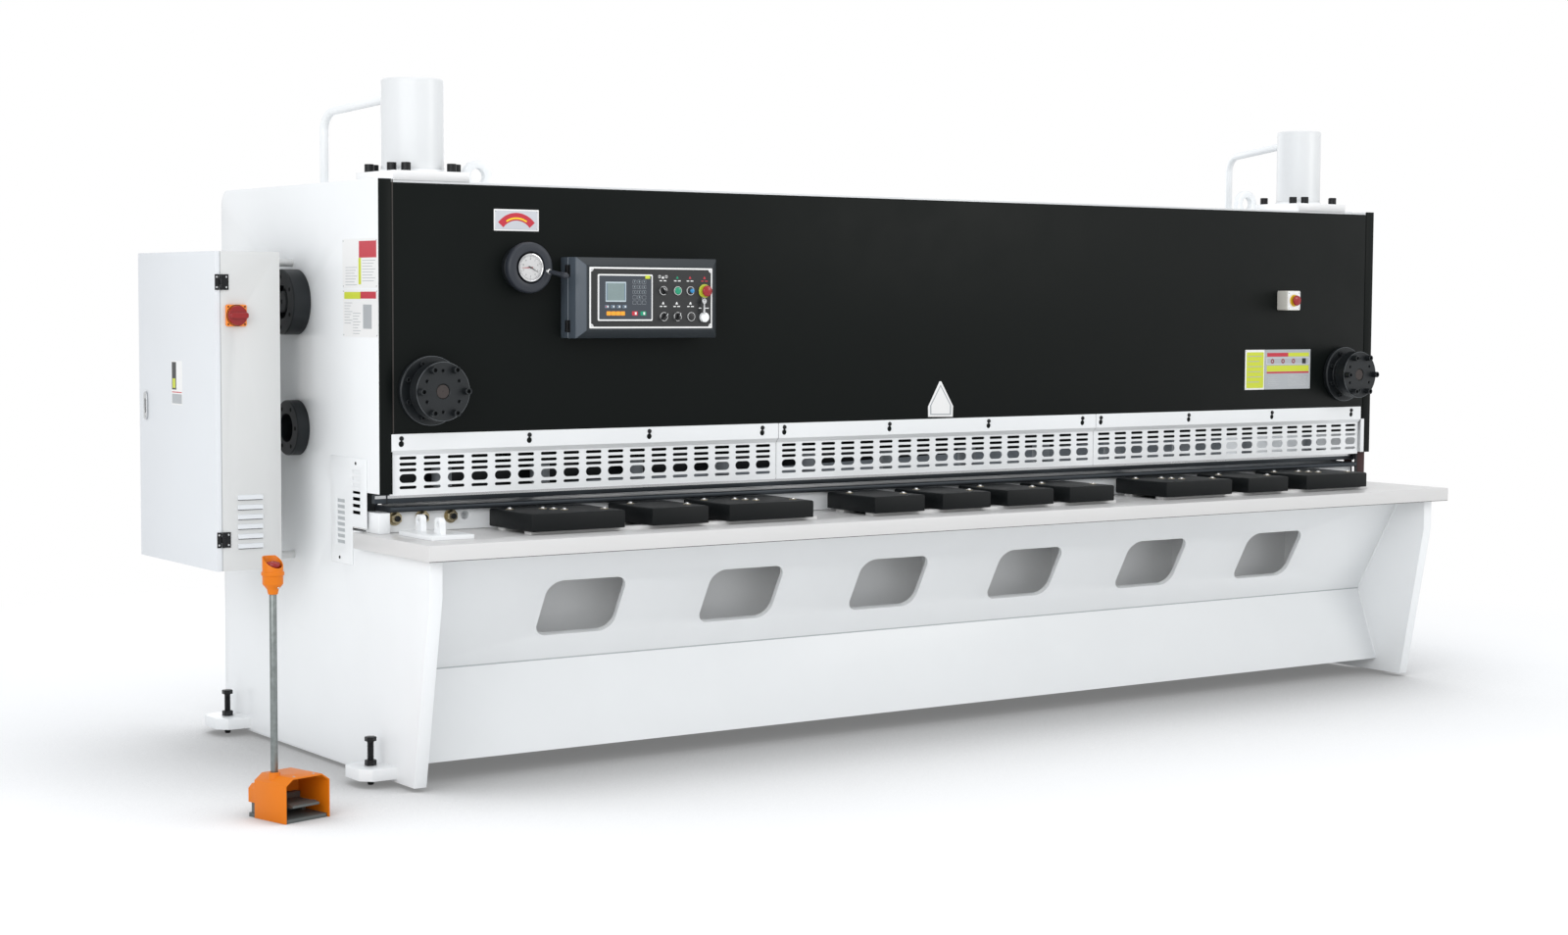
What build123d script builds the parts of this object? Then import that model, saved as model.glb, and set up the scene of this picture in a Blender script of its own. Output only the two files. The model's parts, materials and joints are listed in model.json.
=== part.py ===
"""Hydraulic guillotine shear for sheet metal, 4 m cutting length.

Drawn in millimetres, +Z up. X runs along the cutting length with X = 0 in the middle,
Y = 0 is the face of the finger guard with +Y to the back, Z = 0 is the foot of the side plates.
Every piece is saved with the same shift, so that the part's origin is on the floor
in the middle of the whole assembly.
"""
import os
from math import hypot, radians, tan
from build123d import *

os.makedirs("parts", exist_ok=True)

# fits between pieces
SEAT = 0.3            # pieces that are bolted or welded face to face
BLADE_GAP = 1.0       # upper blade past lower blade

# along the cutting length
CUT_LENGTH = 4000.0
BLADE_HALF = CUT_LENGTH / 2 + 10
KNIFE_HALF = BLADE_HALF + 12
INNER = KNIFE_HALF + 22          # inner face of each side plate

# side plates
PLATE_T = 40.0
OUTER = INNER + PLATE_T
PLATE_TOP = 1742.0
PLATE_REAR = 1147.0
PLATE_FRONT = -4.0
FOOT_FRONT = -218.0   # front corner at the floor
KNEE_Y, KNEE_Z = -322.0, 557.0
REAR_ROUND = 50.0
FLOOR_DROP = 12.0     # levelling screws hold the plates this far off the floor

# table
TABLE_TOP, TABLE_T = 710.7, 47.0
TABLE_FRONT, TABLE_REAR = -375.4, 113.7
TABLE_END = OUTER + 29
TABLE_UNDER = TABLE_TOP - TABLE_T
RAIL_H = 10.0         # white strips that carry the support blocks
RAIL_FRONT, RAIL_REAR, RAIL_W = -235.0, -35.0, 40.0
RAIL_START, RAIL_PAST = 10.0, 34.0      # from the first block's left end, past the last block's right end
VALLEY_Y, VALLEY_Z = -2.0, 305.5
APRON_TOP_Y = -198.7
SKIRT_Y, SKIRT_Z = -104.0, 46.0
APRON_T, BACK_T = 16.0, 16.0
WINDOW_W, WINDOW_H = 275.0, 200.0
WINDOW_ROUND, WINDOW_SMALL = 50.0, 22.0
WINDOW_COUNT, WINDOW_Z, RIB_T = 6, 472.0, 12.0
WINDOW_PITCH = 2 * INNER / (WINDOW_COUNT + 1)

# support blocks: each group on its own pair of strips, with the start of each block and its length;
# a start is a share of the distance from the middle to a side plate
BLOCK_SHORT, BLOCK_LONG, BLOCK_DEPTH, BLOCK_H = 200.0, 315.0, 262.0, 52.5
BLOCK_GROUPS = {
    "left": [(-0.8425, BLOCK_LONG), (-0.6409, BLOCK_SHORT), (-0.5054, BLOCK_LONG)],
    "middle": [(-0.2329, BLOCK_SHORT), (-0.0983, BLOCK_SHORT),
               (0.0352, BLOCK_SHORT), (0.1683, BLOCK_SHORT)],
    "right": [(0.386, BLOCK_LONG), (0.5797, BLOCK_SHORT), (0.7241, BLOCK_LONG)],
}
BLOCK_FRONT = -262.0

# blades, and the throat in the side plates round them
CUT_LEVEL = TABLE_TOP + 79.3
THROAT_REAR = 300.0
THROAT_TOP = CUT_LEVEL + 38
BLADE_T, BLADE_H, BLADE_OPEN = 20.0, 80.0, 25.0
RAKE = 1.5            # degrees, left end leads
BLADE_REST = CUT_LEVEL + BLADE_OPEN      # lowest point of the upper blade at rest
UPPER_FRONT = TABLE_REAR + SEAT + BLADE_T + BLADE_GAP
BLADE_RISE = 2 * BLADE_HALF * tan(radians(RAKE))
SEAT_BAR_FRONT, SEAT_BAR_H, LIP_FRONT = 40.0, 61.3, 12.0
SEAT_HALF = INNER - 4

# hold-down beam behind the guard, with its cylinders and the bar that limits the feed gap
HOLD_FRONT, HOLD_REAR, HOLD_BEAM_H, HOLD_LIFT = 30.0, 118.0, 130.0, 25.0
HOLD_BOTTOM = CUT_LEVEL + 115
HOLD_COUNT, HOLD_Y, HOLD_BODY_R, HOLD_FOOT_R, HOLD_BODY = 12, 74.0, 30.0, 24.0, 65.0
HOLD_PITCH = 2 * (INNER - 201.5) / (HOLD_COUNT - 1)
FEED_GAP, FEED_BAR_FRONT, FEED_BAR_H = 8.0, 34.0, 25.0
FEED_BAR_HALF = OUTER - 4

# front panel and finger guard
GUARD_STEP, GUARD_FLANGE, GUARD_H = CUT_LEVEL + 165, 48.0, 180.5
PANEL_T, PANEL_TOP, PANEL_BOTTOM, STRIP_BOTTOM = 6.0, PLATE_TOP - 10, GUARD_STEP, THROAT_TOP
SEAM, SEAM_DEPTH, LIP = 5.0, 2.0, 30.0
PANEL_HALF = INNER - SEAM
PANEL_FACE = PLATE_FRONT - PANEL_T
GUARD_GAP, GUARD_T = 2.0, 3.0
GUARD_W = 2 * (INNER - 4) / 3
GUARD_TOP = GUARD_STEP + GUARD_FLANGE
GUARD_BOTTOM = GUARD_TOP - GUARD_H
SLOT_COLUMNS, SLOT_W, SLOT_EDGE = 17, 56.0, 22.72
SLOT_PITCH = (GUARD_W - 2 * SLOT_EDGE - SLOT_W) / (SLOT_COLUMNS - 1)
SLOT_H, SLOT_LEVELS = 9.0, [GUARD_BOTTOM + up for up in (109.1, 91.3, 74.1, 22.9)]
OVAL_H, OVAL_LEVEL = 26.0, GUARD_BOTTOM + 49.3

# cylinders and what stands on the top beam
CYL_X, CYL_Y, CYL_H = INNER - 167, 186.0, 305.0
CYL_TOP = PLATE_TOP + CYL_H
CYL_R_LEFT, CYL_R_RIGHT, CYL_WALL = 94.0, 82.0, 14.0
FLANGE, FLANGE_T = 250.0, 29.0
ROD_R, ROD_CLEAR, PISTON_H, ROD_TOP = 38.0, 0.5, 40.0, CYL_TOP - 62
BEAM_FRONT, BEAM_REAR, BEAM_H = 62.0, 310.0, 182.0
BEAM_BOTTOM = PLATE_TOP - BEAM_H
END_BLOCK = 484.0     # solid end of the top beam, under cylinder and lifting eye
EYE_X, EYE_Y, EYE_Z, EYE_R, EYE_BORE, EYE_T = INNER - 404, 231.0, PLATE_TOP + 28, 48.0, 24.0, 24.0
PIPE_R, PIPE_BEND, PORT_R, PORT_OUT = 13.5, 60.0, 19.0, 12.0
PIPE_END_X, PIPE_END_Y, PIPE_Z, PIPE_DROP = INNER - 89, 636.0, CYL_TOP - 39, 38.0
TANK_FRONT, TANK_REAR, TANK_H, TANK_TOP = 560.0, 960.0, 300.0, PLATE_TOP - 12
CAP_X, CAP_R, CAP_H = 900.0, 45.0, 10.0

# knife beam
KNIFE_TOP, KNIFE_BODY = BEAM_BOTTOM - 160, 90.0
CHEEK_T, CHEEK_REAR, CHEEK_LOW = 40.0, 620.0, 960.0

# roller guides
GUIDE_X, GUIDE_Z = INNER - 119, 1128.0
SIDE_GUIDE_Y, UPPER_GUIDE_Z, LOWER_GUIDE_Z = 556.0, 1384.0, 999.0
GUIDE_DEPTH, GUIDE_SHAFT_R = 50.0, 40.0

# control cabinet on the left plate
CAB_W, CAB_D, CAB_H, CAB_OFF = 614.0, 204.0, 946.0, 134.0
CAB_X, CAB_Y, CAB_Z = -OUTER - CAB_OFF - CAB_D, 385.0, 587.0
DOOR_T, SHEET, DOOR_GAP = 18.0, 3.0, 3.0
HINGE_ZS, HINGE_R, HINGE_H, HINGE_MID, HINGE_LEAF = (680.5, 1442.0), 4.5, 46.0, 16.0, 3.0
HINGE_X, HINGE_Y = CAB_X + DOOR_T, CAB_Y - 5
ARM_R, ARM_YS, ARM_ZS = 12.0, (596.0, 790.0), (604.0, 1504.5)
ISO_X, ISO_Z, ISO_PLATE, KNOB_R, KNOB_H = CAB_X + 64, 1344.0, 64.0, 29.0, 26.0

# control box, gap adjuster and stop box on the front panel
BOX_X0, BOX_W, BOX_Z0, BOX_Z1 = -INNER + 561.5, 503.5, 1280.0, 1523.0
BOX_X1 = BOX_X0 + BOX_W
BOX_SIDE, BOX_FACE, BOX_BEVEL = -99.0, -120.0, 24.0
STOP_X, STOP_Z, STOP_R, STOP_H = BOX_X1 - 56, 1424.0, 17.0, 16.0
STEM_R, STEM_BORE = 8.0, 8.5
DIAL_X, DIAL_Z, WHEEL_R, DIAL_R = BOX_X0 - 137.5, 1490.0, 76.0, 43.0
SPINDLE_R, HUB_BORE = 11.0, 11.5
STOP_BOX_X, STOP_BOX_Z, STOP_BOX_W, STOP_BOX_H = INNER - 439, 1405.0, 68.0, 72.0
STOP_BOX_D = 52.0

# slotted cover at the back of the left throat
VENT_FRONT, VENT_STEP, VENT_REAR = 76.0, 172.0, THROAT_REAR + 20
VENT_LOW, VENT_MID, VENT_TOP = TABLE_TOP - 102.7, TABLE_TOP + 11.3, THROAT_TOP + 98
VENT_SLOT_W, VENT_SLOT_H = 52.0, 10.0

# levelling feet
LUG_YS, LUG_W, LUG_REACH, LUG_CORNER = (-32.0, 1022.0), 150.0, 105.0, 30.0
LUG_BOTTOM, LUG_T, SCREW_OUT, SCREW_R = 10.0, 35.0, 46.0, 10.0
SCREW_TOP, HEAD_AF, HEAD_H, NUT_H = 129.0, 30.0, 13.0, 16.0

# back gauge on the knife beam, and the slide for cut sheets
GAUGE_HALF, GAUGE_FRONT, GAUGE_T, GAUGE_H = INNER - 194, 520.0, 40.0, 70.0
ARM_X, ARM_W, ARM_BOTTOM, ARM_H, ARM_REAR = 1300.0, 80.0, CUT_LEVEL + 220, 60.0, 900.0
SLIDE_TOP, SLIDE_LOW, SLIDE_REAR = 560.0, 90.0, 1060.0

# bracket for a support arm at the left front of the table
BRACKET_X0, BRACKET_W, BRACKET_Y0, BRACKET_L, BRACKET_T = -INNER + 4, 135.0, -250.0, 210.0, 13.0
EAR_OFF, EAR_T, EAR_W, EAR_TOP, EAR_YS = 50.0, 17.0, 40.0, 60.0, (45.0, 165.0)
EAR_BORE, EAR_BORE_Z = 8.0, 40.0

# foot switch that stands on the floor by the left end
FOOT_X, FOOT_Y, FOOT_TURN = -OUTER - 428, -340.0, 14.0
FOOT_W, FOOT_L, FOOT_H, FOOT_SHELL = 150.0, 135.0, 122.0, 4.0
FOOT_BODY_W, FOOT_BODY_H = 64.0, 58.0
POST_R, POST_X, POST_Y, POST_TOP, POST_SEAT = 10.0, -50.0, 12.0, 625.0, 96.0
SHROUD_R, SHROUD_TOP = 28.0, 716.0


def box(x0, x1, y0, y1, z0, z1):
    """Box from its six limits."""
    return Pos((x0 + x1) / 2, (y0 + y1) / 2, (z0 + z1) / 2) * Box(x1 - x0, y1 - y0, z1 - z0)


def along_x(points, x0, x1):
    """Outline of (Y, Z) points carried along X."""
    face = make_face(Polyline(*[(x0, y, z) for y, z in points], close=True))
    return extrude(face, amount=x1 - x0, dir=(1, 0, 0))


def along_y(points, y0, y1):
    """Outline of (X, Z) points carried along Y."""
    face = make_face(Polyline(*[(x, y0, z) for x, z in points], close=True))
    return extrude(face, amount=y1 - y0, dir=(0, 1, 0))


def rod_y(x, z, y0, y1, r):
    """Round bar along Y."""
    return Pos(x, (y0 + y1) / 2, z) * Rot(90, 0, 0) * Cylinder(r, y1 - y0)


def rod_x(y, z, x0, x1, r):
    """Round bar along X."""
    return Pos((x0 + x1) / 2, y, z) * Rot(0, 90, 0) * Cylinder(r, x1 - x0)


def rod_z(x, y, z0, z1, r):
    """Round bar along Z."""
    return Pos(x, y, (z0 + z1) / 2) * Cylinder(r, z1 - z0)


def turned(profile):
    """Turned piece: (radius, height) points spun about Z."""
    face = make_face(Polyline(*[(r, 0, h) for r, h in profile], close=True))
    return revolve(face, axis=Axis.Z)


def mirrored(shape):
    """The same piece for the right end."""
    return mirror(shape, about=Plane.YZ)


def foot_lug(y):
    """Levelling lug on the outside of the left plate, with its corners cut and a bored hole."""
    half, out = LUG_W / 2, -OUTER - LUG_REACH
    outline = [(-OUTER, y - half), (out + LUG_CORNER, y - half), (out, y - half + LUG_CORNER),
               (out, y + half - LUG_CORNER), (out + LUG_CORNER, y + half), (-OUTER, y + half)]
    face = make_face(Polyline(*[(px, py, LUG_BOTTOM) for px, py in outline], close=True))
    lug = extrude(face, amount=LUG_T, dir=(0, 0, 1))
    return lug - rod_z(-OUTER - SCREW_OUT, y, LUG_BOTTOM - 1, LUG_BOTTOM + LUG_T + 1, SCREW_R + SEAT)


def side_frame():
    """Left side plate with its throat, guide bores and two levelling lugs."""
    outline = [(FOOT_FRONT, 0), (PLATE_REAR, 0), (PLATE_REAR, PLATE_TOP), (PLATE_FRONT, PLATE_TOP),
               (PLATE_FRONT, THROAT_TOP), (THROAT_REAR, THROAT_TOP), (THROAT_REAR, TABLE_TOP),
               (TABLE_REAR + SEAT, TABLE_TOP), (TABLE_REAR + SEAT, TABLE_UNDER - SEAT),
               (KNEE_Y, TABLE_UNDER - SEAT), (KNEE_Y, KNEE_Z)]
    plate = along_x(outline, -OUTER, -INNER)
    corners = plate.edges().filter_by(Axis.X)
    plate = fillet(corners.group_by(Axis.Y)[-1].sort_by(Axis.Z)[-1:], REAR_ROUND)
    throat = [e for e in plate.edges().filter_by(Axis.X) if abs(e.center().Y - THROAT_REAR) < 1]
    plate = fillet(throat, 25)
    for z in (UPPER_GUIDE_Z, LOWER_GUIDE_Z):
        plate -= rod_x(SIDE_GUIDE_Y, z, -OUTER - 1, -INNER + 1, GUIDE_SHAFT_R + SEAT)
    for y in LUG_YS:
        plate += foot_lug(y)
    return plate


def front_panel():
    """Front sheet across both plates: strips at the ends, a seam beside each, folded lips behind."""
    half = PANEL_HALF + SEAM
    outline = [(-OUTER, STRIP_BOTTOM), (-half, STRIP_BOTTOM), (-half, PANEL_BOTTOM),
               (half, PANEL_BOTTOM), (half, STRIP_BOTTOM), (OUTER, STRIP_BOTTOM),
               (OUTER, PLATE_TOP), (half, PLATE_TOP), (half, PANEL_TOP),
               (-half, PANEL_TOP), (-half, PLATE_TOP), (-OUTER, PLATE_TOP)]
    back = PLATE_FRONT - SEAT
    panel = along_y(outline, PANEL_FACE, back)
    for side in (-1, 1):
        x0, x1 = sorted((side * PANEL_HALF, side * half))
        panel -= box(x0, x1, PANEL_FACE - 1, PANEL_FACE + SEAM_DEPTH, PANEL_BOTTOM - 1, PANEL_TOP + 1)
    for z0, z1 in ((PANEL_TOP - PANEL_T, PANEL_TOP), (PANEL_BOTTOM, PANEL_BOTTOM + PANEL_T)):
        panel += box(-PANEL_HALF, PANEL_HALF, back, back + LIP, z0, z1)
    return panel


def guard_section(x0):
    """One hanging section of the finger guard: flange on the panel, step back, slotted face."""
    x1 = x0 + GUARD_W - GUARD_GAP
    flange = PANEL_FACE - SEAT
    profile = [(flange, GUARD_TOP), (flange - GUARD_T, GUARD_TOP), (flange - GUARD_T, GUARD_STEP),
               (0, GUARD_STEP - 14), (0, GUARD_BOTTOM), (GUARD_T, GUARD_BOTTOM),
               (GUARD_T, GUARD_STEP - 11), (flange, GUARD_STEP - 0.5)]
    sheet = along_x(profile, x0, x1)
    first = (x0 + x1) / 2 - SLOT_PITCH * (SLOT_COLUMNS - 1) / 2
    cuts = []
    for column in range(SLOT_COLUMNS):
        x = first + SLOT_PITCH * column
        for z in SLOT_LEVELS:
            cuts.append(box(x - SLOT_W / 2, x + SLOT_W / 2, -2, GUARD_T + 2, z - SLOT_H / 2, z + SLOT_H / 2))
        oval = Pos(x, -2, OVAL_LEVEL) * Rot(90, 0, 0) * SlotOverall(SLOT_W, OVAL_H)
        cuts.append(extrude(oval, amount=GUARD_T + 4, dir=(0, 1, 0)))
    return sheet - cuts


def table_plate():
    """Table top with the white strips that carry the support blocks."""
    plate = box(-TABLE_END, TABLE_END, TABLE_FRONT, TABLE_REAR, TABLE_UNDER, TABLE_TOP)
    for blocks in BLOCK_GROUPS.values():
        (first, _), (last, length) = blocks[0], blocks[-1]
        x0, x1 = first * INNER + RAIL_START, last * INNER + length + RAIL_PAST
        for y in (RAIL_FRONT, RAIL_REAR - RAIL_W):
            plate += box(x0, x1, y, y + RAIL_W, TABLE_TOP, TABLE_TOP + RAIL_H)
    return plate


def window_cut(x):
    """Window through the sloping apron, two large and two small round corners."""
    slope = Vector(0, VALLEY_Y - APRON_TOP_Y, VALLEY_Z - TABLE_UNDER).normalized()
    normal = Vector(1, 0, 0).cross(slope)
    mid_y = APRON_TOP_Y + (TABLE_UNDER - WINDOW_Z) * (VALLEY_Y - APRON_TOP_Y) / (TABLE_UNDER - VALLEY_Z)
    plane = Plane(origin=(x, mid_y, WINDOW_Z), x_dir=(1, 0, 0), z_dir=normal)
    outline = Rectangle(WINDOW_W, WINDOW_H)
    ends = outline.vertices().sort_by(lambda v: v.X * v.Y)
    outline = fillet(ends[:2], WINDOW_ROUND)
    others = [v for v in outline.vertices() if abs(v.X * v.Y - WINDOW_W * WINDOW_H / 4) < 1]
    outline = fillet(others, WINDOW_SMALL)
    return extrude(plane * outline, amount=3 * APRON_T, both=True)


def table_base():
    """Welded box under the table: sloping apron with windows, skirt, back plate, shelf and ribs."""
    top = TABLE_UNDER - SEAT
    half = INNER - SEAT
    lean = APRON_T * hypot(1, (VALLEY_Y - APRON_TOP_Y) / (TABLE_UNDER - VALLEY_Z))
    apron = along_x([(APRON_TOP_Y, top), (APRON_TOP_Y + lean, top), (VALLEY_Y + lean, VALLEY_Z),
                     (VALLEY_Y, VALLEY_Z)], -half, half)
    skirt = along_x([(VALLEY_Y, VALLEY_Z), (VALLEY_Y + APRON_T, VALLEY_Z),
                     (SKIRT_Y + APRON_T, SKIRT_Z), (SKIRT_Y, SKIRT_Z)], -half, half)
    back_y = TABLE_REAR - BACK_T
    back = box(-half, half, back_y, TABLE_REAR, SKIRT_Z, top)
    shelf = box(-half, half, VALLEY_Y, TABLE_REAR, VALLEY_Z - APRON_T, VALLEY_Z)
    base = apron + skirt + back + shelf
    for i in range(WINDOW_COUNT):
        base -= window_cut((i - (WINDOW_COUNT - 1) / 2) * WINDOW_PITCH)
    for i in range(WINDOW_COUNT + 1):
        x = (i - WINDOW_COUNT / 2) * WINDOW_PITCH
        base += along_x([(APRON_TOP_Y + lean / 2, top), (TABLE_REAR - 1, top), (TABLE_REAR - 1, VALLEY_Z - 1),
                         (VALLEY_Y + lean / 2, VALLEY_Z - 1)], x - RIB_T / 2, x + RIB_T / 2)
    return base


def support_block(share, length):
    """Block that carries the sheet, with a chamfered rim."""
    x0, low = share * INNER, TABLE_TOP + RAIL_H + SEAT
    block = box(x0, x0 + length, BLOCK_FRONT, BLOCK_FRONT + BLOCK_DEPTH, low, low + BLOCK_H)
    return chamfer(block.faces().sort_by(Axis.Z)[-1].edges(), 3)


def blade_seat():
    """Bar on the table that carries the lower blade, with its dark lip towards the operator."""
    low = TABLE_TOP + SEAT
    profile = [(SEAT_BAR_FRONT, low), (TABLE_REAR, low), (TABLE_REAR, CUT_LEVEL - 1),
               (LIP_FRONT, CUT_LEVEL - 1), (LIP_FRONT, low + SEAT_BAR_H), (SEAT_BAR_FRONT, low + SEAT_BAR_H)]
    return along_x(profile, -SEAT_HALF, SEAT_HALF)


def lower_blade():
    """Fixed blade behind the table edge; its rear top edge is on the cutting level."""
    y0 = TABLE_REAR + SEAT
    return box(-BLADE_HALF, BLADE_HALF, y0, y0 + BLADE_T, CUT_LEVEL - BLADE_H, CUT_LEVEL)


def upper_blade():
    """Moving blade, raked so that the left end leads."""
    outline = [(-BLADE_HALF, BLADE_REST), (BLADE_HALF, BLADE_REST + BLADE_RISE),
               (BLADE_HALF, BLADE_REST + BLADE_RISE + BLADE_H), (-BLADE_HALF, BLADE_REST + BLADE_H)]
    return along_y(outline, UPPER_FRONT, UPPER_FRONT + BLADE_T)


def knife_beam():
    """Moving beam behind the panel: raked body, end cheeks that run back to the rear rollers, rods."""
    front = UPPER_FRONT + BLADE_T + SEAT
    low = BLADE_REST + 12
    outline = [(-KNIFE_HALF, low), (KNIFE_HALF, low + BLADE_RISE), (KNIFE_HALF, KNIFE_TOP),
               (-KNIFE_HALF, KNIFE_TOP)]
    beam = along_y(outline, front, front + KNIFE_BODY)
    beam += box(-KNIFE_HALF, KNIFE_HALF, front, front + 150, KNIFE_TOP - 30, KNIFE_TOP)
    for side in (-1, 1):
        x0, x1 = sorted((side * KNIFE_HALF, side * (KNIFE_HALF - CHEEK_T)))
        cheek = [(front, CHEEK_LOW), (CHEEK_REAR, CHEEK_LOW), (CHEEK_REAR, KNIFE_TOP), (front, KNIFE_TOP)]
        beam += along_x(cheek, x0, x1)
        bore = (CYL_R_LEFT if side < 0 else CYL_R_RIGHT) - CYL_WALL - 1
        beam += rod_z(side * CYL_X, CYL_Y, KNIFE_TOP - 5, ROD_TOP, ROD_R)
        beam += rod_z(side * CYL_X, CYL_Y, ROD_TOP - PISTON_H, ROD_TOP, bore)
    return beam


def hold_down_beam():
    """Fixed beam behind the guard with its row of hold-down cylinders and the feed bar before them."""
    beam = box(-INNER + SEAT, INNER - SEAT, HOLD_FRONT, HOLD_REAR, HOLD_BOTTOM, HOLD_BOTTOM + HOLD_BEAM_H)
    for i in range(HOLD_COUNT):
        x = (i - (HOLD_COUNT - 1) / 2) * HOLD_PITCH
        low = HOLD_BOTTOM - HOLD_BODY
        beam += rod_z(x, HOLD_Y, low, HOLD_BOTTOM + 1, HOLD_BODY_R)
        beam += rod_z(x, HOLD_Y, CUT_LEVEL + HOLD_LIFT, low + 1, HOLD_FOOT_R)
    low = CUT_LEVEL + FEED_GAP
    return beam + box(-FEED_BAR_HALF, FEED_BAR_HALF, FEED_BAR_FRONT, HOLD_Y - HOLD_FOOT_R + 4,
                      low, low + FEED_BAR_H)


def top_beam():
    """Cross beam between the plates: solid ends under the cylinders, hollow middle, lifting eyes."""
    half = INNER - SEAT
    beam = box(-half, half, BEAM_FRONT, BEAM_REAR, BEAM_BOTTOM, PLATE_TOP)
    inner = INNER - END_BLOCK
    beam -= box(-inner, inner, BEAM_FRONT + 16, BEAM_REAR - 16, BEAM_BOTTOM - 1, PLATE_TOP - 16)
    for side in (-1, 1):
        beam -= rod_z(side * CYL_X, CYL_Y, BEAM_BOTTOM - 1, PLATE_TOP + 1, ROD_R + 4)
        y0, y1 = EYE_Y - EYE_T / 2, EYE_Y + EYE_T / 2
        eye = rod_y(side * EYE_X, EYE_Z, y0, y1, EYE_R)
        eye += box(side * EYE_X - EYE_R, side * EYE_X + EYE_R, y0, y1, PLATE_TOP - 4, EYE_Z)
        eye -= rod_y(side * EYE_X, EYE_Z, y0 - 1, y1 + 1, EYE_BORE)
        beam += eye
    return beam


def cylinder(side, radius):
    """Hydraulic cylinder with a square base flange; bored for its piston and rod."""
    x, low = side * CYL_X, PLATE_TOP + SEAT
    body = rod_z(x, CYL_Y, low, CYL_TOP, radius)
    body = chamfer(body.faces().sort_by(Axis.Z)[-1].edges(), 4)
    body += box(x - FLANGE / 2, x + FLANGE / 2, CYL_Y - FLANGE / 2, CYL_Y + FLANGE / 2, low, low + FLANGE_T)
    body -= rod_z(x, CYL_Y, low + 44, CYL_TOP - 20, radius - CYL_WALL)
    body += pipe_bar(side, PORT_R, radius - 5, radius + PORT_OUT)
    return body - rod_z(x, CYL_Y, low - 1, low + 60, ROD_R + ROD_CLEAR)


def pipe_line(side):
    """Axis point of the port in the cylinder, corner of the pipe, and the way from one to the other."""
    port = Vector(side * CYL_X, CYL_Y, PIPE_Z)
    corner = Vector(side * PIPE_END_X, PIPE_END_Y, PIPE_Z - PIPE_DROP)
    return port, corner, (corner - port).normalized()


def pipe_bar(side, r, near, far):
    """Round bar along the upper run of the pipe, between two distances from the cylinder's axis."""
    port, corner, way = pipe_line(side)
    return Plane(origin=port + way * near, z_dir=way) * extrude(Circle(r), far - near)


def cylinder_pipe(side, radius):
    """Oil pipe: out of the port at the cylinder's back, then down into the tank."""
    port, corner, way = pipe_line(side)
    start = port + way * (radius + PORT_OUT + SEAT)
    end = Vector(corner.X, corner.Y, TANK_TOP + SEAT)
    path = FilletPolyline(start, corner, end, radius=PIPE_BEND)
    return sweep(Plane(origin=start, z_dir=way) * Circle(PIPE_R), path=path)


def front_guide():
    """Roller guide on the front panel: ring, neck and bolted disc."""
    ring, neck, disc = 102.0, 68.0, 87.0
    profile = [(0, 0), (ring, 0), (ring, 14), (ring - 4, 18), (neck, 18), (neck, 48),
               (disc - 2, 48), (disc, 50), (disc, 87), (disc - 3, 90), (17, 90), (17, 78), (0, 78)]
    return Pos(-GUIDE_X, PANEL_FACE - SEAT, GUIDE_Z) * Rot(90, 0, 0) * turned(profile)


def side_guide(z, ring, recess, recess_depth, cap):
    """Roller guide in a bore of the left plate, with a recessed face."""
    d, shaft = GUIDE_DEPTH, GUIDE_SHAFT_R
    profile = [(0, -PLATE_T - 6), (shaft, -PLATE_T - 6), (shaft, 0), (ring, 0), (ring, d - 3), (ring - 3, d),
               (recess, d), (recess, d - recess_depth)]
    if cap:
        profile += [(cap, d - recess_depth), (cap, d - 8), (cap - 4, d - 4)]
    profile.append((0, profile[-1][1]))
    return Pos(-OUTER - SEAT, SIDE_GUIDE_Y, z) * Rot(0, -90, 0) * turned(profile)


def vent_cover():
    """Slotted sheet over the back of the left throat, notched round the table end."""
    outline = [(VENT_FRONT, VENT_MID), (VENT_STEP, VENT_MID), (VENT_STEP, VENT_LOW),
               (VENT_REAR, VENT_LOW), (VENT_REAR, VENT_TOP), (VENT_FRONT, VENT_TOP)]
    cover = along_x(outline, -OUTER - SEAT - SHEET, -OUTER - SEAT)
    slots = [(VENT_STEP - 28, VENT_MID + 44 + 20 * i) for i in range(7)]
    slots += [(VENT_REAR - 71, VENT_LOW + 64 + 17.5 * i) for i in range(8)]
    w, h = VENT_SLOT_W / 2, VENT_SLOT_H / 2
    for y, z in slots:
        cover -= box(-OUTER - 10, -OUTER + 1, y - w, y + w, z - h, z + h)
    return cover


def corner_bracket():
    """Bracket at the left front of the table with two bored ears for a support arm."""
    low, ear_x = TABLE_TOP + SEAT, BRACKET_X0 + EAR_OFF
    bracket = box(BRACKET_X0, BRACKET_X0 + BRACKET_W, BRACKET_Y0, BRACKET_Y0 + BRACKET_L,
                  low, low + BRACKET_T)
    for along in EAR_YS:
        y = BRACKET_Y0 + along
        ear = box(ear_x, ear_x + EAR_T, y, y + EAR_W, low + BRACKET_T - 1, low + EAR_TOP)
        bracket += fillet(ear.faces().sort_by(Axis.Z)[-1].edges().filter_by(Axis.X), EAR_T)
        bracket -= rod_x(y + EAR_W / 2, low + EAR_BORE_Z, ear_x - 1, ear_x + EAR_T + 1, EAR_BORE)
    return bracket


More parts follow.
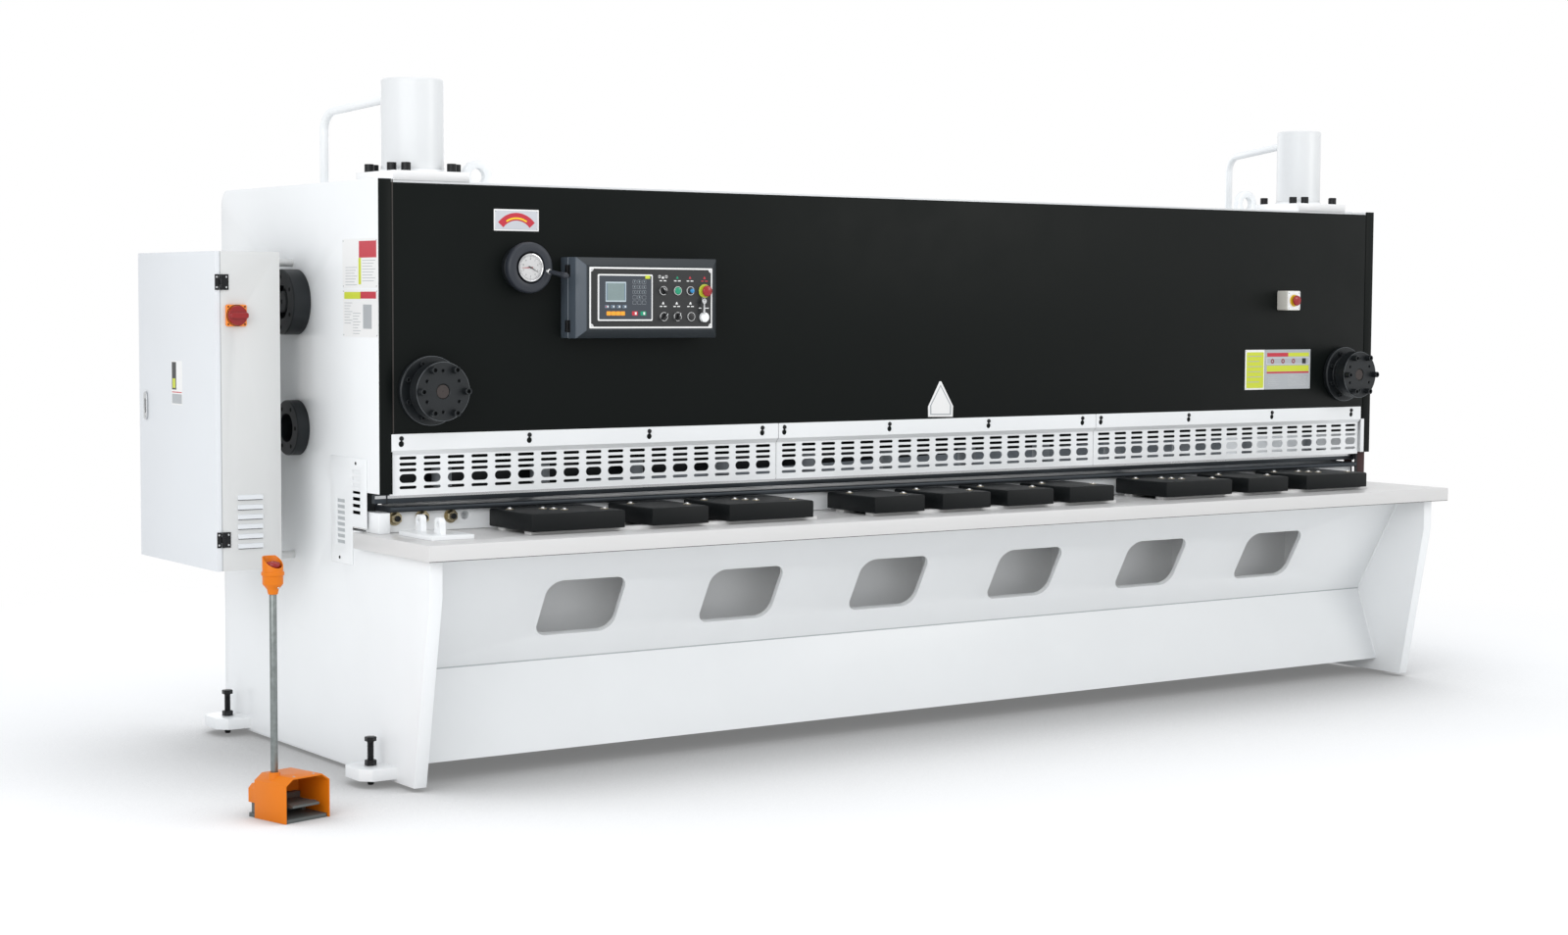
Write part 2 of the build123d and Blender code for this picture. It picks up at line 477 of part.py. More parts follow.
def cabinet_shell():
    """Open sheet steel box with folded rim and the four tubes that hold it off the plate."""
    x0, x1 = CAB_X + DOOR_T + SEAT, CAB_X + CAB_D
    y0, y1, z0, z1 = CAB_Y, CAB_Y + CAB_W, CAB_Z, CAB_Z + CAB_H
    shell = box(x0, x1, y0, y1, z0, z1)
    shell -= box(x0 + SHEET, x1 - SHEET, y0 + SHEET, y1 - SHEET, z0 + SHEET, z1 - SHEET)
    shell -= box(x0 - 1, x0 + SHEET + 1, y0 + 25, y1 - 25, z0 + 25, z1 - 25)
    shell -= rod_y(ISO_X, ISO_Z, y0 - 1, y0 + SHEET + 1, 8)
    for y in ARM_YS:
        for z in ARM_ZS:
            shell += rod_x(y, z, x1 - 1, -OUTER - SEAT, ARM_R)
    half, mid = HINGE_H / 2, HINGE_MID / 2 + SEAT
    leaf_y = CAB_Y - HINGE_LEAF
    for z in HINGE_ZS:
        shell += box(HINGE_X + HINGE_R + 1, HINGE_X + 24, leaf_y, y0 + 1, z - half, z + half)
        for low, high in ((z - half, z - mid), (z + mid, z + half)):
            shell += box(HINGE_X, HINGE_X + HINGE_R + 2, leaf_y, CAB_Y - SEAT, low, high)
            shell += rod_z(HINGE_X, HINGE_Y, low, high, HINGE_R)
    return shell


def cabinet_door():
    """Folded sheet door on the left side of the cabinet, with its leaf and knuckle of each hinge."""
    x1, y0, y1, z0, z1 = HINGE_X - DOOR_GAP, CAB_Y, CAB_Y + CAB_W, CAB_Z, CAB_Z + CAB_H
    door = box(CAB_X, x1, y0, y1, z0, z1)
    door -= box(CAB_X + SHEET, x1 + 1, y0 + SHEET, y1 - SHEET, z0 + SHEET, z1 - SHEET)
    half, mid = HINGE_H / 2, HINGE_MID / 2
    leaf_y, leaf_x = CAB_Y - HINGE_LEAF, HINGE_X - HINGE_R - 1
    for z in HINGE_ZS:
        door += box(CAB_X, leaf_x, leaf_y, y0 + 1, z - half, z + half)
        door += box(leaf_x - 1, HINGE_X, leaf_y, CAB_Y - SEAT, z - mid, z + mid)
        door += rod_z(HINGE_X, HINGE_Y, z - mid, z + mid, HINGE_R)
    return door


def isolator_plate():
    """Square face of the main switch, with a bored collar for the knob's spindle."""
    half = ISO_PLATE / 2
    plate = box(ISO_X - half, ISO_X + half, CAB_Y - SEAT - 8, CAB_Y - SEAT, ISO_Z - half, ISO_Z + half)
    plate = fillet(plate.edges().filter_by(Axis.Y), 6)
    return plate - rod_y(ISO_X, ISO_Z, CAB_Y - 20, CAB_Y + 1, 7.5)


def isolator_knob():
    """Rotary knob of the main switch: round skirt, grip bar and spindle."""
    face = CAB_Y - SEAT - 8 - 1
    knob = rod_y(ISO_X, ISO_Z, face - 12, face, KNOB_R)
    grip = box(ISO_X - KNOB_R + 2, ISO_X + KNOB_R - 2, face - KNOB_H, face - 11, ISO_Z - 8, ISO_Z + 8)
    return knob + fillet(grip.edges().filter_by(Axis.Y), 5) + rod_y(ISO_X, ISO_Z, face - 1, CAB_Y + 12, 7)


def control_box():
    """Control box with bevelled front edges, bored for the stop button."""
    back = PANEL_FACE - SEAT
    x0, x1, z0, z1 = BOX_X0, BOX_X1, BOX_Z0, BOX_Z1
    body = box(x0, x1, BOX_SIDE, back, z0, z1)
    b = BOX_BEVEL
    rear = make_face(Polyline((x0, BOX_SIDE, z0), (x1, BOX_SIDE, z0), (x1, BOX_SIDE, z1),
                              (x0, BOX_SIDE, z1), close=True))
    front = make_face(Polyline((x0 + b, BOX_FACE, z0 + b), (x1 - b, BOX_FACE, z0 + b),
                               (x1 - b, BOX_FACE, z1 - b), (x0 + b, BOX_FACE, z1 - b), close=True))
    body += loft([rear, front])
    return body - rod_y(STOP_X, STOP_Z, BOX_FACE - 1, BOX_FACE + 30, STEM_BORE)


def mushroom(x, z, face, r, height):
    """Stop button: domed head on a stem that slides in the box."""
    profile = [(0, -20), (STEM_R, -20), (STEM_R, 8), (r, 9), (r, height), (r - 5, height + 5),
               (0, height + 6)]
    return Pos(x, face, z) * Rot(90, 0, 0) * turned(profile)


def gap_dial():
    """Boss on the panel, spindle and round dial of the blade gap adjuster."""
    profile = [(0, 0), (66, 0), (66, 22), (60, 28), (SPINDLE_R, 28), (SPINDLE_R, 54), (DIAL_R, 54),
               (DIAL_R, 65), (0, 65)]
    return Pos(DIAL_X, PANEL_FACE - SEAT, DIAL_Z) * Rot(90, 0, 0) * turned(profile)


def gap_handwheel():
    """Handwheel round the dial, with its crank handle."""
    r, bore = WHEEL_R, HUB_BORE
    profile = [(bore, 34), (r - 6, 34), (r, 40), (r, 60), (r - 6, 66), (DIAL_R + 3, 66),
               (DIAL_R + 3, 48), (bore, 48)]
    wheel = Pos(DIAL_X, PANEL_FACE, DIAL_Z) * Rot(90, 0, 0) * turned(profile)
    handle = turned([(0, 0), (8, 0), (8, 8), (7, 12), (10, 40), (11, 75), (7, 88), (0, 88)])
    return wheel + Pos(DIAL_X + 60, PANEL_FACE - 65, DIAL_Z + 8) * Rot(90, 0, 0) * handle


def stop_box():
    """Small square box for the second stop button."""
    w, h, back = STOP_BOX_W / 2, STOP_BOX_H / 2, PANEL_FACE - SEAT
    body = box(STOP_BOX_X - w, STOP_BOX_X + w, back - STOP_BOX_D, back, STOP_BOX_Z - h, STOP_BOX_Z + h)
    body = fillet(body.edges().filter_by(Axis.Y), 6)
    return body - rod_y(STOP_BOX_X, STOP_BOX_Z, back - STOP_BOX_D - 1, back - 20, STEM_BORE)


def levelling_screw(x, y):
    """Hexagon screw down to the floor, with its lock nut on the lug."""
    screw = rod_z(x, y, -FLOOR_DROP, SCREW_TOP - HEAD_H, SCREW_R)
    hexagon = RegularPolygon(HEAD_AF / 2, 6, major_radius=False)
    screw += Pos(x, y, SCREW_TOP - HEAD_H) * extrude(hexagon, HEAD_H)
    return screw + Pos(x, y, LUG_BOTTOM + LUG_T + SEAT) * extrude(hexagon, NUT_H)


def oil_tank():
    """Closed oil tank between the plates at the back, with a filler cap."""
    half = INNER - SEAT
    tank = box(-half, half, TANK_FRONT, TANK_REAR, TANK_TOP - TANK_H, TANK_TOP)
    tank = fillet(tank.edges().filter_by(Axis.X), 12)
    return tank + rod_z(CAP_X, TANK_REAR - 120, TANK_TOP - 1, TANK_TOP + CAP_H, CAP_R)


def back_gauge():
    """Stop bar behind the blades on two arms that hang from the knife beam."""
    front = UPPER_FRONT + BLADE_T + SEAT + KNIFE_BODY + SEAT
    rear = GAUGE_FRONT + GAUGE_T
    low, high = CUT_LEVEL + 4, CUT_LEVEL + 4 + GAUGE_H
    gauge = box(-GAUGE_HALF, GAUGE_HALF, GAUGE_FRONT, rear, low, high)
    for x in (-ARM_X, ARM_X):
        gauge += box(x - ARM_W / 2, x + ARM_W / 2, front, ARM_REAR, ARM_BOTTOM, ARM_BOTTOM + ARM_H)
        gauge += box(x - ARM_W / 3, x + ARM_W / 3, rear - 30, rear, high - 4, ARM_BOTTOM + 5)
    return gauge


def sheet_slide():
    """Sloping plate at the back on which cut sheets slide to the floor."""
    half = INNER - SEAT
    front, t = TABLE_REAR + 40, 8
    bend = SLIDE_REAR - 160
    return along_x([(front, SLIDE_TOP), (front, SLIDE_TOP - t), (bend, SLIDE_LOW), (SLIDE_REAR, SLIDE_LOW),
                    (SLIDE_REAR, SLIDE_LOW + t), (bend + 2, SLIDE_LOW + t)], -half, half)


def placed_foot(shape):
    """Put a piece of the foot switch where it stands on the floor."""
    return Pos(FOOT_X, FOOT_Y, -FLOOR_DROP) * Rot(0, 0, FOOT_TURN) * shape


def foot_base():
    """Cast base of the foot switch with the switch body at its back."""
    w, l = FOOT_W / 2 - FOOT_SHELL - SEAT, FOOT_L / 2
    base = box(-w, w, -l + 4, l + 35, 0, 10)
    base = fillet(base.edges().filter_by(Axis.Z), 8)
    base += box(-FOOT_BODY_W, FOOT_BODY_W, l - 20, l + 27, 9, FOOT_BODY_H)
    for x in (-w + 14, w - 14):
        base += box(x - 6, x + 6, 22, 48, 9, 34)
        base -= rod_x(34, 26, x - 7, x + 7, 4.3)
    return base


def foot_cover():
    """Guard over the pedal: open to the front and below, stepped down at the back."""
    w, l, t = FOOT_W / 2, FOOT_L / 2, FOOT_SHELL
    front = along_y([(-w, 0), (-w, 104), (-w + 26, FOOT_H), (w - 26, FOOT_H), (w, 104), (w, 0)], -l, l)
    front -= along_y([(-w + t, -1), (-w + t, 104 - 2), (-w + 26, FOOT_H - t), (w - 26, FOOT_H - t),
                      (w - t, 104 - 2), (w - t, -1)], -l - 1, l - t)
    front -= box(-w + t, w - t, l - t - 1, l + 1, -1, FOOT_BODY_H + SEAT)
    rear = along_y([(-w + t, 40), (-w + t, 78), (-w + 16, 90), (w - 16, 90), (w - t, 78), (w - t, 40)],
                   l - 1, l + 32)
    rear -= box(-FOOT_BODY_W - SEAT, FOOT_BODY_W + SEAT, l - 2, l + 27 + SEAT, 39, FOOT_BODY_H + SEAT)
    cover = front + rear + rod_z(POST_X, POST_Y, 88, FOOT_H + 8, POST_R + 6)
    return cover - rod_z(POST_X, POST_Y, POST_SEAT, FOOT_H + 9, POST_R + SEAT)


def foot_pedal():
    """Treadle with a raised toe lip, on a pin in the base's ears."""
    w = FOOT_W / 2 - FOOT_SHELL - 26
    outline = [(-60, 38), (-60, 44), (-40, 48), (34, 40), (44, 34), (44, 20), (26, 20), (24, 34)]
    plate = along_x(outline, -w, w)
    return plate + rod_x(34, 26, -w - 16, w + 16, 4)


def foot_post():
    """Steel tube that stands in the cover's boss."""
    return rod_z(POST_X, POST_Y, POST_SEAT + SEAT, POST_TOP, POST_R)


def foot_shroud():
    """Orange housing on the post: cone, collar and a cup that is cut away over the stop button."""
    r, low = SHROUD_R, POST_TOP - 12
    profile = [(0, low), (13, low), (16, low + 14), (r, low + 28), (r, low + 50), (r + 3, low + 52),
               (r + 3, low + 60), (r, low + 62), (r, SHROUD_TOP), (r - 3, SHROUD_TOP), (r - 3, low + 64),
               (0, low + 64)]
    body = turned(profile)
    body -= along_x([(-r - 5, low + 66), (-r - 5, SHROUD_TOP + 5), (r - 4, SHROUD_TOP + 5),
                     (r - 14, SHROUD_TOP - 2)], -2 * r, 2 * r)
    body -= rod_z(0, 0, low + 40, low + 65, STEM_BORE)
    return Pos(POST_X, POST_Y, 0) * (body - rod_z(0, 0, low - 1, POST_TOP + 1, POST_R + SEAT))


def foot_stop():
    """Stop button on the post, pushed down to stop the machine."""
    seat = POST_TOP - 12 + 64
    profile = [(0, -18), (STEM_R, -18), (STEM_R, 7), (20, 8), (20, 20), (15, 25), (0, 26)]
    return Pos(POST_X, POST_Y, seat) * turned(profile)


parts = {}
parts["side_frame_left"] = side_frame()
parts["side_frame_right"] = mirrored(parts["side_frame_left"])
parts["front_panel"] = front_panel()
for name, index in (("guard_left", 0), ("guard_middle", 1), ("guard_right", 2)):
    parts[name] = guard_section(-1.5 * GUARD_W + GUARD_GAP / 2 + index * GUARD_W)
parts["table_plate"] = table_plate()
parts["table_base"] = table_base()
for name, blocks in BLOCK_GROUPS.items():
    parts[f"support_blocks_{name}"] = Compound([support_block(*block) for block in blocks])
parts["blade_seat"] = blade_seat()
parts["lower_blade"] = lower_blade()
parts["upper_blade"] = upper_blade()
parts["knife_beam"] = knife_beam()
parts["hold_down_beam"] = hold_down_beam()
parts["top_beam"] = top_beam()
parts["cylinder_left"] = cylinder(-1, CYL_R_LEFT)
parts["cylinder_right"] = cylinder(1, CYL_R_RIGHT)
parts["cylinder_pipe_left"] = cylinder_pipe(-1, CYL_R_LEFT)
parts["cylinder_pipe_right"] = cylinder_pipe(1, CYL_R_RIGHT)
parts["front_guide_left"] = front_guide()
parts["front_guide_right"] = mirrored(parts["front_guide_left"])
parts["side_guide_upper_left"] = side_guide(UPPER_GUIDE_Z, 100, 52, 20, 34)
parts["side_guide_upper_right"] = mirrored(parts["side_guide_upper_left"])
parts["side_guide_lower_left"] = side_guide(LOWER_GUIDE_Z, 85, 36, 40, 0)
parts["side_guide_lower_right"] = mirrored(parts["side_guide_lower_left"])
parts["vent_cover"] = vent_cover()
parts["corner_bracket"] = corner_bracket()
parts["cabinet_shell"] = cabinet_shell()
parts["cabinet_door"] = cabinet_door()
parts["isolator_plate"] = isolator_plate()
parts["isolator_knob"] = isolator_knob()
parts["control_box"] = control_box()
parts["control_stop_button"] = mushroom(STOP_X, STOP_Z, BOX_FACE, STOP_R, STOP_H)
parts["gap_dial"] = gap_dial()
parts["gap_handwheel"] = gap_handwheel()
parts["stop_box"] = stop_box()
stop_box_face = PANEL_FACE - SEAT - STOP_BOX_D
parts["stop_box_button"] = mushroom(STOP_BOX_X, STOP_BOX_Z, stop_box_face, STOP_R + 2, STOP_H)
for end, side in (("left", -1), ("right", 1)):
    screws = [levelling_screw(side * (OUTER + SCREW_OUT), y) for y in LUG_YS]
    parts[f"levelling_screws_{end}"] = Compound(screws)
parts["oil_tank"] = oil_tank()
parts["back_gauge"] = back_gauge()
parts["sheet_slide"] = sheet_slide()
parts["foot_base"] = placed_foot(foot_base())
parts["foot_cover"] = placed_foot(foot_cover())
parts["foot_pedal"] = placed_foot(foot_pedal())
parts["foot_post"] = placed_foot(foot_post())
parts["foot_shroud"] = placed_foot(foot_shroud())
parts["foot_stop_button"] = placed_foot(foot_stop())

# the origin goes to the middle of the assembly's box, on the floor
limits = [shape.bounding_box() for shape in parts.values()]
middle_x = (min(b.min.X for b in limits) + max(b.max.X for b in limits)) / 2
middle_y = (min(b.min.Y for b in limits) + max(b.max.Y for b in limits)) / 2
print("origin moved from", round(middle_x, 3), round(middle_y, 3), -FLOOR_DROP)
for name, shape in parts.items():
    export_step(Pos(-middle_x, -middle_y, FLOOR_DROP) * shape, f"parts/{name}.step")
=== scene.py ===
# %% [markdown]
# # A hydraulic guillotine shear for sheet metal
# The solids of this machine come from a CAD model: side plates, table, blades, cylinders, cabinet and
# foot switch. They are exact, but they have no bolts, no rounded paint edges, no buttons and no finish.
# This lesson adds those, piece by piece, and never moves a CAD solid.

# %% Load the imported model
import json
import random
from math import cos, pi, radians, sin

import bmesh
import bpy
from mathutils import Matrix, Vector


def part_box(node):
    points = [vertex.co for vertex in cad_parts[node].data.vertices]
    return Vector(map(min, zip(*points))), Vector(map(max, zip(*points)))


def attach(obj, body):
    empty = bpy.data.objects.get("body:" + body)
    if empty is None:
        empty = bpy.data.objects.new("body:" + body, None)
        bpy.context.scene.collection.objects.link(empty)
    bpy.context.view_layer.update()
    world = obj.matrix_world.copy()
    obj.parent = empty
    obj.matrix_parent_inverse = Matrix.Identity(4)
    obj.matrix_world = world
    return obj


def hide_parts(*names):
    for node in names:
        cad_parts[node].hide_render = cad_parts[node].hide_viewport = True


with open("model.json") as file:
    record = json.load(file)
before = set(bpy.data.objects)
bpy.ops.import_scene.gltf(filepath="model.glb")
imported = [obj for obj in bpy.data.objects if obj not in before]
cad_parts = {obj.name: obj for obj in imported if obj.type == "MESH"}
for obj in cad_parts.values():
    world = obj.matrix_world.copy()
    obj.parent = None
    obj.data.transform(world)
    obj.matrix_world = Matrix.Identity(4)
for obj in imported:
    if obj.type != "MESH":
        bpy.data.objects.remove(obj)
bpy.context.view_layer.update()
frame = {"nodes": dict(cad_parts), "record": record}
nodes = frame["nodes"]

# %% [markdown]
# A machine drawing is in millimetres, measured from the middle of the cutting length, the face of the
# finger guard and the foot of the side plates. It is easiest to keep those numbers while modelling and to
# turn them into scene metres only once, when a piece is finished. The shift between the two is fixed by
# one solid: the table plate, which is centred on the drawing's X = 0.

# %% Drawing millimetres to scene metres
low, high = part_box("table_plate")
SHIFT = Vector(((low.x + high.x) / 2, high.y - 0.1137, 0.012))
TO_SCENE = Matrix.Translation(SHIFT) @ Matrix.Scale(0.001, 4)


def spot(x, y, z):
    """Scene point of a place on the drawing, in millimetres."""
    return TO_SCENE @ Vector((x, y, z))


print("drawing origin in the scene:", [round(c, 4) for c in SHIFT])

# %% [markdown]
# ## Camera
# The view was worked out from straight edges of the machine whose lengths are known: it stands 1.4 m high,
# about 6.7 m in front of the guard and left of the machine, and looks slightly down. The lens follows from
# the focal length in pixels: 2592.9 px on a picture 1600 px wide is 58.3 mm on a 36 mm sensor. The three
# axes of the camera are written straight into its matrix, which avoids mistakes with the order of turns.

# %% Camera at the photograph's place
EYE = (-5336.3, -6700.4, 1401.1)
FOCAL_PIXELS, PHOTO_PIXELS, SENSOR_MM = 2592.9, 1600, 36
yaw, pitch, roll = radians(34.976), radians(-3.794), radians(-0.301)
forward = Vector((sin(yaw) * cos(pitch), cos(yaw) * cos(pitch), sin(pitch)))
level = Vector((cos(yaw), -sin(yaw), 0))
down = forward.cross(level)
right = cos(roll) * level + sin(roll) * down
under = -sin(roll) * level + cos(roll) * down

camera = bpy.data.objects.new("camera", bpy.data.cameras.new("camera"))
bpy.context.scene.collection.objects.link(camera)
camera.data.lens = FOCAL_PIXELS / PHOTO_PIXELS * SENSOR_MM
axes = Matrix((right, -under, -forward)).transposed().to_4x4()
camera.matrix_world = Matrix.Translation(spot(*EYE)) @ axes
camera.data.clip_end = 100
bpy.context.scene.camera = camera
bpy.context.scene.view_settings.view_transform = "Standard"
print("lens", round(camera.data.lens, 2), "mm")

# %% [markdown]
# ## Colours and nodes
# Colour pickers and colour charts give sRGB values, but shader nodes count in linear light. One function
# turns a hex code into linear numbers, so each colour below can be read as it would look on a screen.
# A second one adds any node: its settings are given by name, and an input takes a value or a link.


# %% Two helpers for every material
def linear(code):
    """Linear RGBA of an sRGB hex code such as 'e8e9ea'."""
    parts = [int(code[i:i + 2], 16) / 255 for i in (0, 2, 4)]
    return [c / 12.92 if c <= 0.04045 else ((c + 0.055) / 1.055) ** 2.4 for c in parts] + [1.0]


def add(tree, kind, inputs=(), **settings):
    """Add one node with its settings, values and links."""
    node = tree.nodes.new(kind)
    for key, value in settings.items():
        setattr(node, key, value)
    for key, value in dict(inputs).items():
        if isinstance(value, bpy.types.NodeSocket):
            tree.links.new(value, node.inputs[key])
        else:
            node.inputs[key].default_value = value
    return node


def new_material(name):
    """Empty material with its output node; returns the material, its tree and the output."""
    material = bpy.data.materials.new(name)
    material.use_nodes = True
    tree = material.node_tree
    tree.nodes.clear()
    return material, tree, add(tree, "ShaderNodeOutputMaterial")


# %% [markdown]
# ## Floor and light
# The machine stands in a white studio. The floor is a large pale sheet that fades to the white of the
# background away from the machine, so no horizon line shows, while the shadow under the machine stays.
# Near the machine the floor is a little darker than the lamps alone would make it, because in the
# photograph the shadow round its foot is deep: the floor's colour follows how much sky each spot sees.
# The background is plain white to the camera, in reflections and through clear plastic; all else is lit by
# a slightly weaker, slightly blue sky. Five wide soft lamps shape the machine: two in front of it, one at
# the left for the side plate, one behind it and one above.

# %% World, floor and lamps
world = bpy.data.worlds.new("studio")
bpy.context.scene.world = world
world.use_nodes = True
world.node_tree.nodes.clear()
path = add(world.node_tree, "ShaderNodeLightPath")
seen = add(world.node_tree, "ShaderNodeMath", {0: path.outputs["Is Camera Ray"],
                                              1: path.outputs["Is Transmission Ray"]}, operation="MAXIMUM")
seen = add(world.node_tree, "ShaderNodeMath", {0: seen.outputs[0], 1: path.outputs["Is Glossy Ray"]},
           operation="MAXIMUM")
sky = add(world.node_tree, "ShaderNodeBackground", {"Color": linear("f4f7fb"), "Strength": 0.88})
paper = add(world.node_tree, "ShaderNodeBackground", {"Color": (1, 1, 1, 1), "Strength": 1.0})
both = add(world.node_tree, "ShaderNodeMixShader", {0: seen.outputs[0], 1: sky.outputs[0],
                                                    2: paper.outputs[0]})
add(world.node_tree, "ShaderNodeOutputWorld", {"Surface": both.outputs[0]})

floor_paint, tree, out = new_material("studio_floor")
where = add(tree, "ShaderNodeTexCoord")
away = add(tree, "ShaderNodeVectorMath", {0: where.outputs["Object"]}, operation="LENGTH")
fade = add(tree, "ShaderNodeMapRange", {"Value": away.outputs["Value"], "From Min": 3.0, "From Max": 4.6,
                                         "To Min": 0.15})
near = add(tree, "ShaderNodeAmbientOcclusion", {"Distance": 1.4}, samples=8)
dusk = add(tree, "ShaderNodeMapRange", {"Value": near.outputs["AO"], "From Min": 0.3, "From Max": 0.93,
                                        "To Min": 0.3, "To Max": 1.0})
matt = add(tree, "ShaderNodeBsdfDiffuse", {"Color": dusk.outputs[0]})
glow = add(tree, "ShaderNodeEmission", {"Color": (1, 1, 1, 1), "Strength": 1.0})
mix = add(tree, "ShaderNodeMixShader", {0: fade.outputs[0], 1: matt.outputs[0], 2: glow.outputs[0]})
tree.links.new(mix.outputs[0], out.inputs["Surface"])

bm = bmesh.new()
bmesh.ops.create_circle(bm, cap_ends=True, segments=64, radius=40)
floor_mesh = bpy.data.meshes.new("floor")
bm.to_mesh(floor_mesh)
bm.free()
floor_mesh.materials.append(floor_paint)
floor = bpy.data.objects.new("floor", floor_mesh)
bpy.context.scene.collection.objects.link(floor)


def lamp(name, place, aim, size, power, colour="ffffff"):
    """Square soft lamp, `size` metres wide, at one place of the drawing, turned to another."""
    data = bpy.data.lights.new(name, "AREA")
    data.shape, data.size, data.energy = "SQUARE", size, power
    data.color = linear(colour)[:3]
    thing = bpy.data.objects.new(name, data)
    bpy.context.scene.collection.objects.link(thing)
    place, aim = spot(*place), spot(*aim)
    turn = (aim - place).to_track_quat("-Z", "Y").to_matrix().to_4x4()
    thing.matrix_world = Matrix.Translation(place) @ turn


lamp("front_left", (-5600, -6200, 3400), (-600, 0, 700), 3.6, 76)
lamp("front_right", (4600, -6000, 3800), (300, 0, 700), 3.0, 88, "fffdf8")
lamp("left", (-7700, -3200, 2800), (-2100, 300, 900), 3.5, 104)
lamp("back", (600, 4600, 1500), (0, 0, 500), 4.0, 52)
lamp("overhead", (-500, -800, 5200), (0, 0, 700), 4.0, 45)

# %% [markdown]
# ## Finishes
# Paint, plastic and castings differ in a few things: the colour, how blurred their shine is, and how coarse
# and deep the texture of their skin is. One recipe takes those as plain numbers. Its three patterns are a
# fine grain that bumps the surface, a cloudy spread of the shine, and a faint spread of the colour, because
# no real coat is the same all over. Sizes are in millimetres; a grain that is too fine for the picture is
# drawn as coarse as it needs to be to show.


# %% The recipe for a coated or moulded skin
def pattern(tree, size, stretch=(1, 1, 1), detail=3.0):
    """Cloudy pattern with spots about `size` millimetres across, longer where stretched."""
    where = add(tree, "ShaderNodeTexCoord")
    scaled = add(tree, "ShaderNodeMapping", {"Vector": where.outputs["Object"],
                                             "Scale": [1000 / size / s for s in stretch]})
    cloud = add(tree, "ShaderNodeTexNoise", {"Vector": scaled.outputs[0], "Scale": 1.0, "Detail": detail})
    return cloud.outputs["Fac"]


def skin(name, colour, shine, grain, depth, cloud=180, spread=0.05, metal=0.0, coat=0.0, stretch=(1, 1, 1),
         gloss=0.5):
    """Material with a colour, a roughness, and a grain of a size and a depth in millimetres."""
    material, tree, out = new_material(name)
    wide = pattern(tree, cloud, detail=4.0)
    tone = add(tree, "ShaderNodeMapRange", {"Value": wide, "From Min": 0.3, "From Max": 0.7,
                                            "To Min": 1 - spread, "To Max": 1 + spread / 2})
    tint = add(tree, "ShaderNodeVectorMath", {0: linear(colour)[:3], 1: tone.outputs[0]},
               operation="MULTIPLY")
    fine = pattern(tree, grain, stretch)
    blur = add(tree, "ShaderNodeMapRange", {"Value": wide, "From Min": 0.3, "From Max": 0.7,
                                            "To Min": shine * 0.9, "To Max": min(1.0, shine * 1.12)})
    bump = add(tree, "ShaderNodeBump", {"Height": fine, "Strength": 1.0, "Distance": depth / 1000})
    shader = add(tree, "ShaderNodeBsdfPrincipled", {
        "Base Color": tint.outputs[0], "Roughness": blur.outputs[0], "Metallic": metal,
        "Specular IOR Level": gloss, "Coat Weight": coat, "Coat Roughness": 0.08,
        "Normal": bump.outputs[0]})
    tree.links.new(shader.outputs[0], out.inputs["Surface"])
    return material


# %% [markdown]
# ### Paints
# The frame has a white polyester powder coat, baked on the welded plates: it flows into a faint orange peel
# with a soft shine. Table and cylinders have the same coat in slightly different whites; the flanges get a
# whiter copy of it, painted light against the shade on them. The sheet metal cabinet has a finely textured
# light grey coat; the shell gets a darker copy of it as painted shade. The front panel is lacquered black
# with a fine texture and a weak shine, the control box is textured dark grey, with a lighter copy on its
# left side and bevel as painted light, and the support blocks have a rough charcoal structure paint. The
# foot switch has orange enamel.

# %% Paints
def powder_coat(name, colour, shine=0.34):
    """Baked white coat with a faint orange peel."""
    return skin(name, colour, shine, 5.0, 0.035, coat=0.15, spread=0.012)


white_powder_coat = powder_coat("white_powder_coat", "eceeef")
flange_painted_light = powder_coat("white_flange_enamel_painted_light", "fbfbfb")
cylinder_paint = powder_coat("white_cylinder_enamel", "dadcdd")
table_paint = powder_coat("warm_white_table_paint", "d2d1d0", 0.32)
cabinet_texture_paint = skin("cabinet_texture_paint", "dcdfe2", 0.5, 2.0, 0.06, spread=0.012)
shell_painted_shade_paint = skin("shell_painted_shade_paint", "d3d4d3", 0.5, 2.0, 0.06, spread=0.012)
black_lacquer = skin("black_textured_lacquer", "0c100f", 0.42, 3.0, 0.08, gloss=0.1)
charcoal_paint = skin("charcoal_structure_paint", "080c0e", 0.5, 4.0, 0.3, spread=0.15, gloss=0.22)
beam_grey_paint = skin("beam_grey_paint", "8b9095", 0.45, 5.0, 0.04)
box_texture_paint = skin("box_grey_texture_paint", "20272c", 0.45, 2.5, 0.15, spread=0.08, gloss=0.4)
box_painted_light_paint = skin("box_texture_paint_painted_light", "48515a", 0.42, 2.5, 0.15, spread=0.1, gloss=0.5)
orange_enamel = skin("orange_enamel", "d9750c", 0.42, 6.0, 0.08, gloss=0.25)

# %% [markdown]
# ### Bare and treated metal
# Screws are blackened in a hot salt bath, which leaves a dark, slightly oily skin. The roller guides are
# cast iron with an oiled phosphate coat. Blades are ground lengthwise, so their scratches and their shine
# run along the machine. Balls and bezels are chromed, small screws are zinc plated, the nuts of the seat
# bar are yellow from the chromate on their zinc, and the post of the foot switch is a galvanised tube.

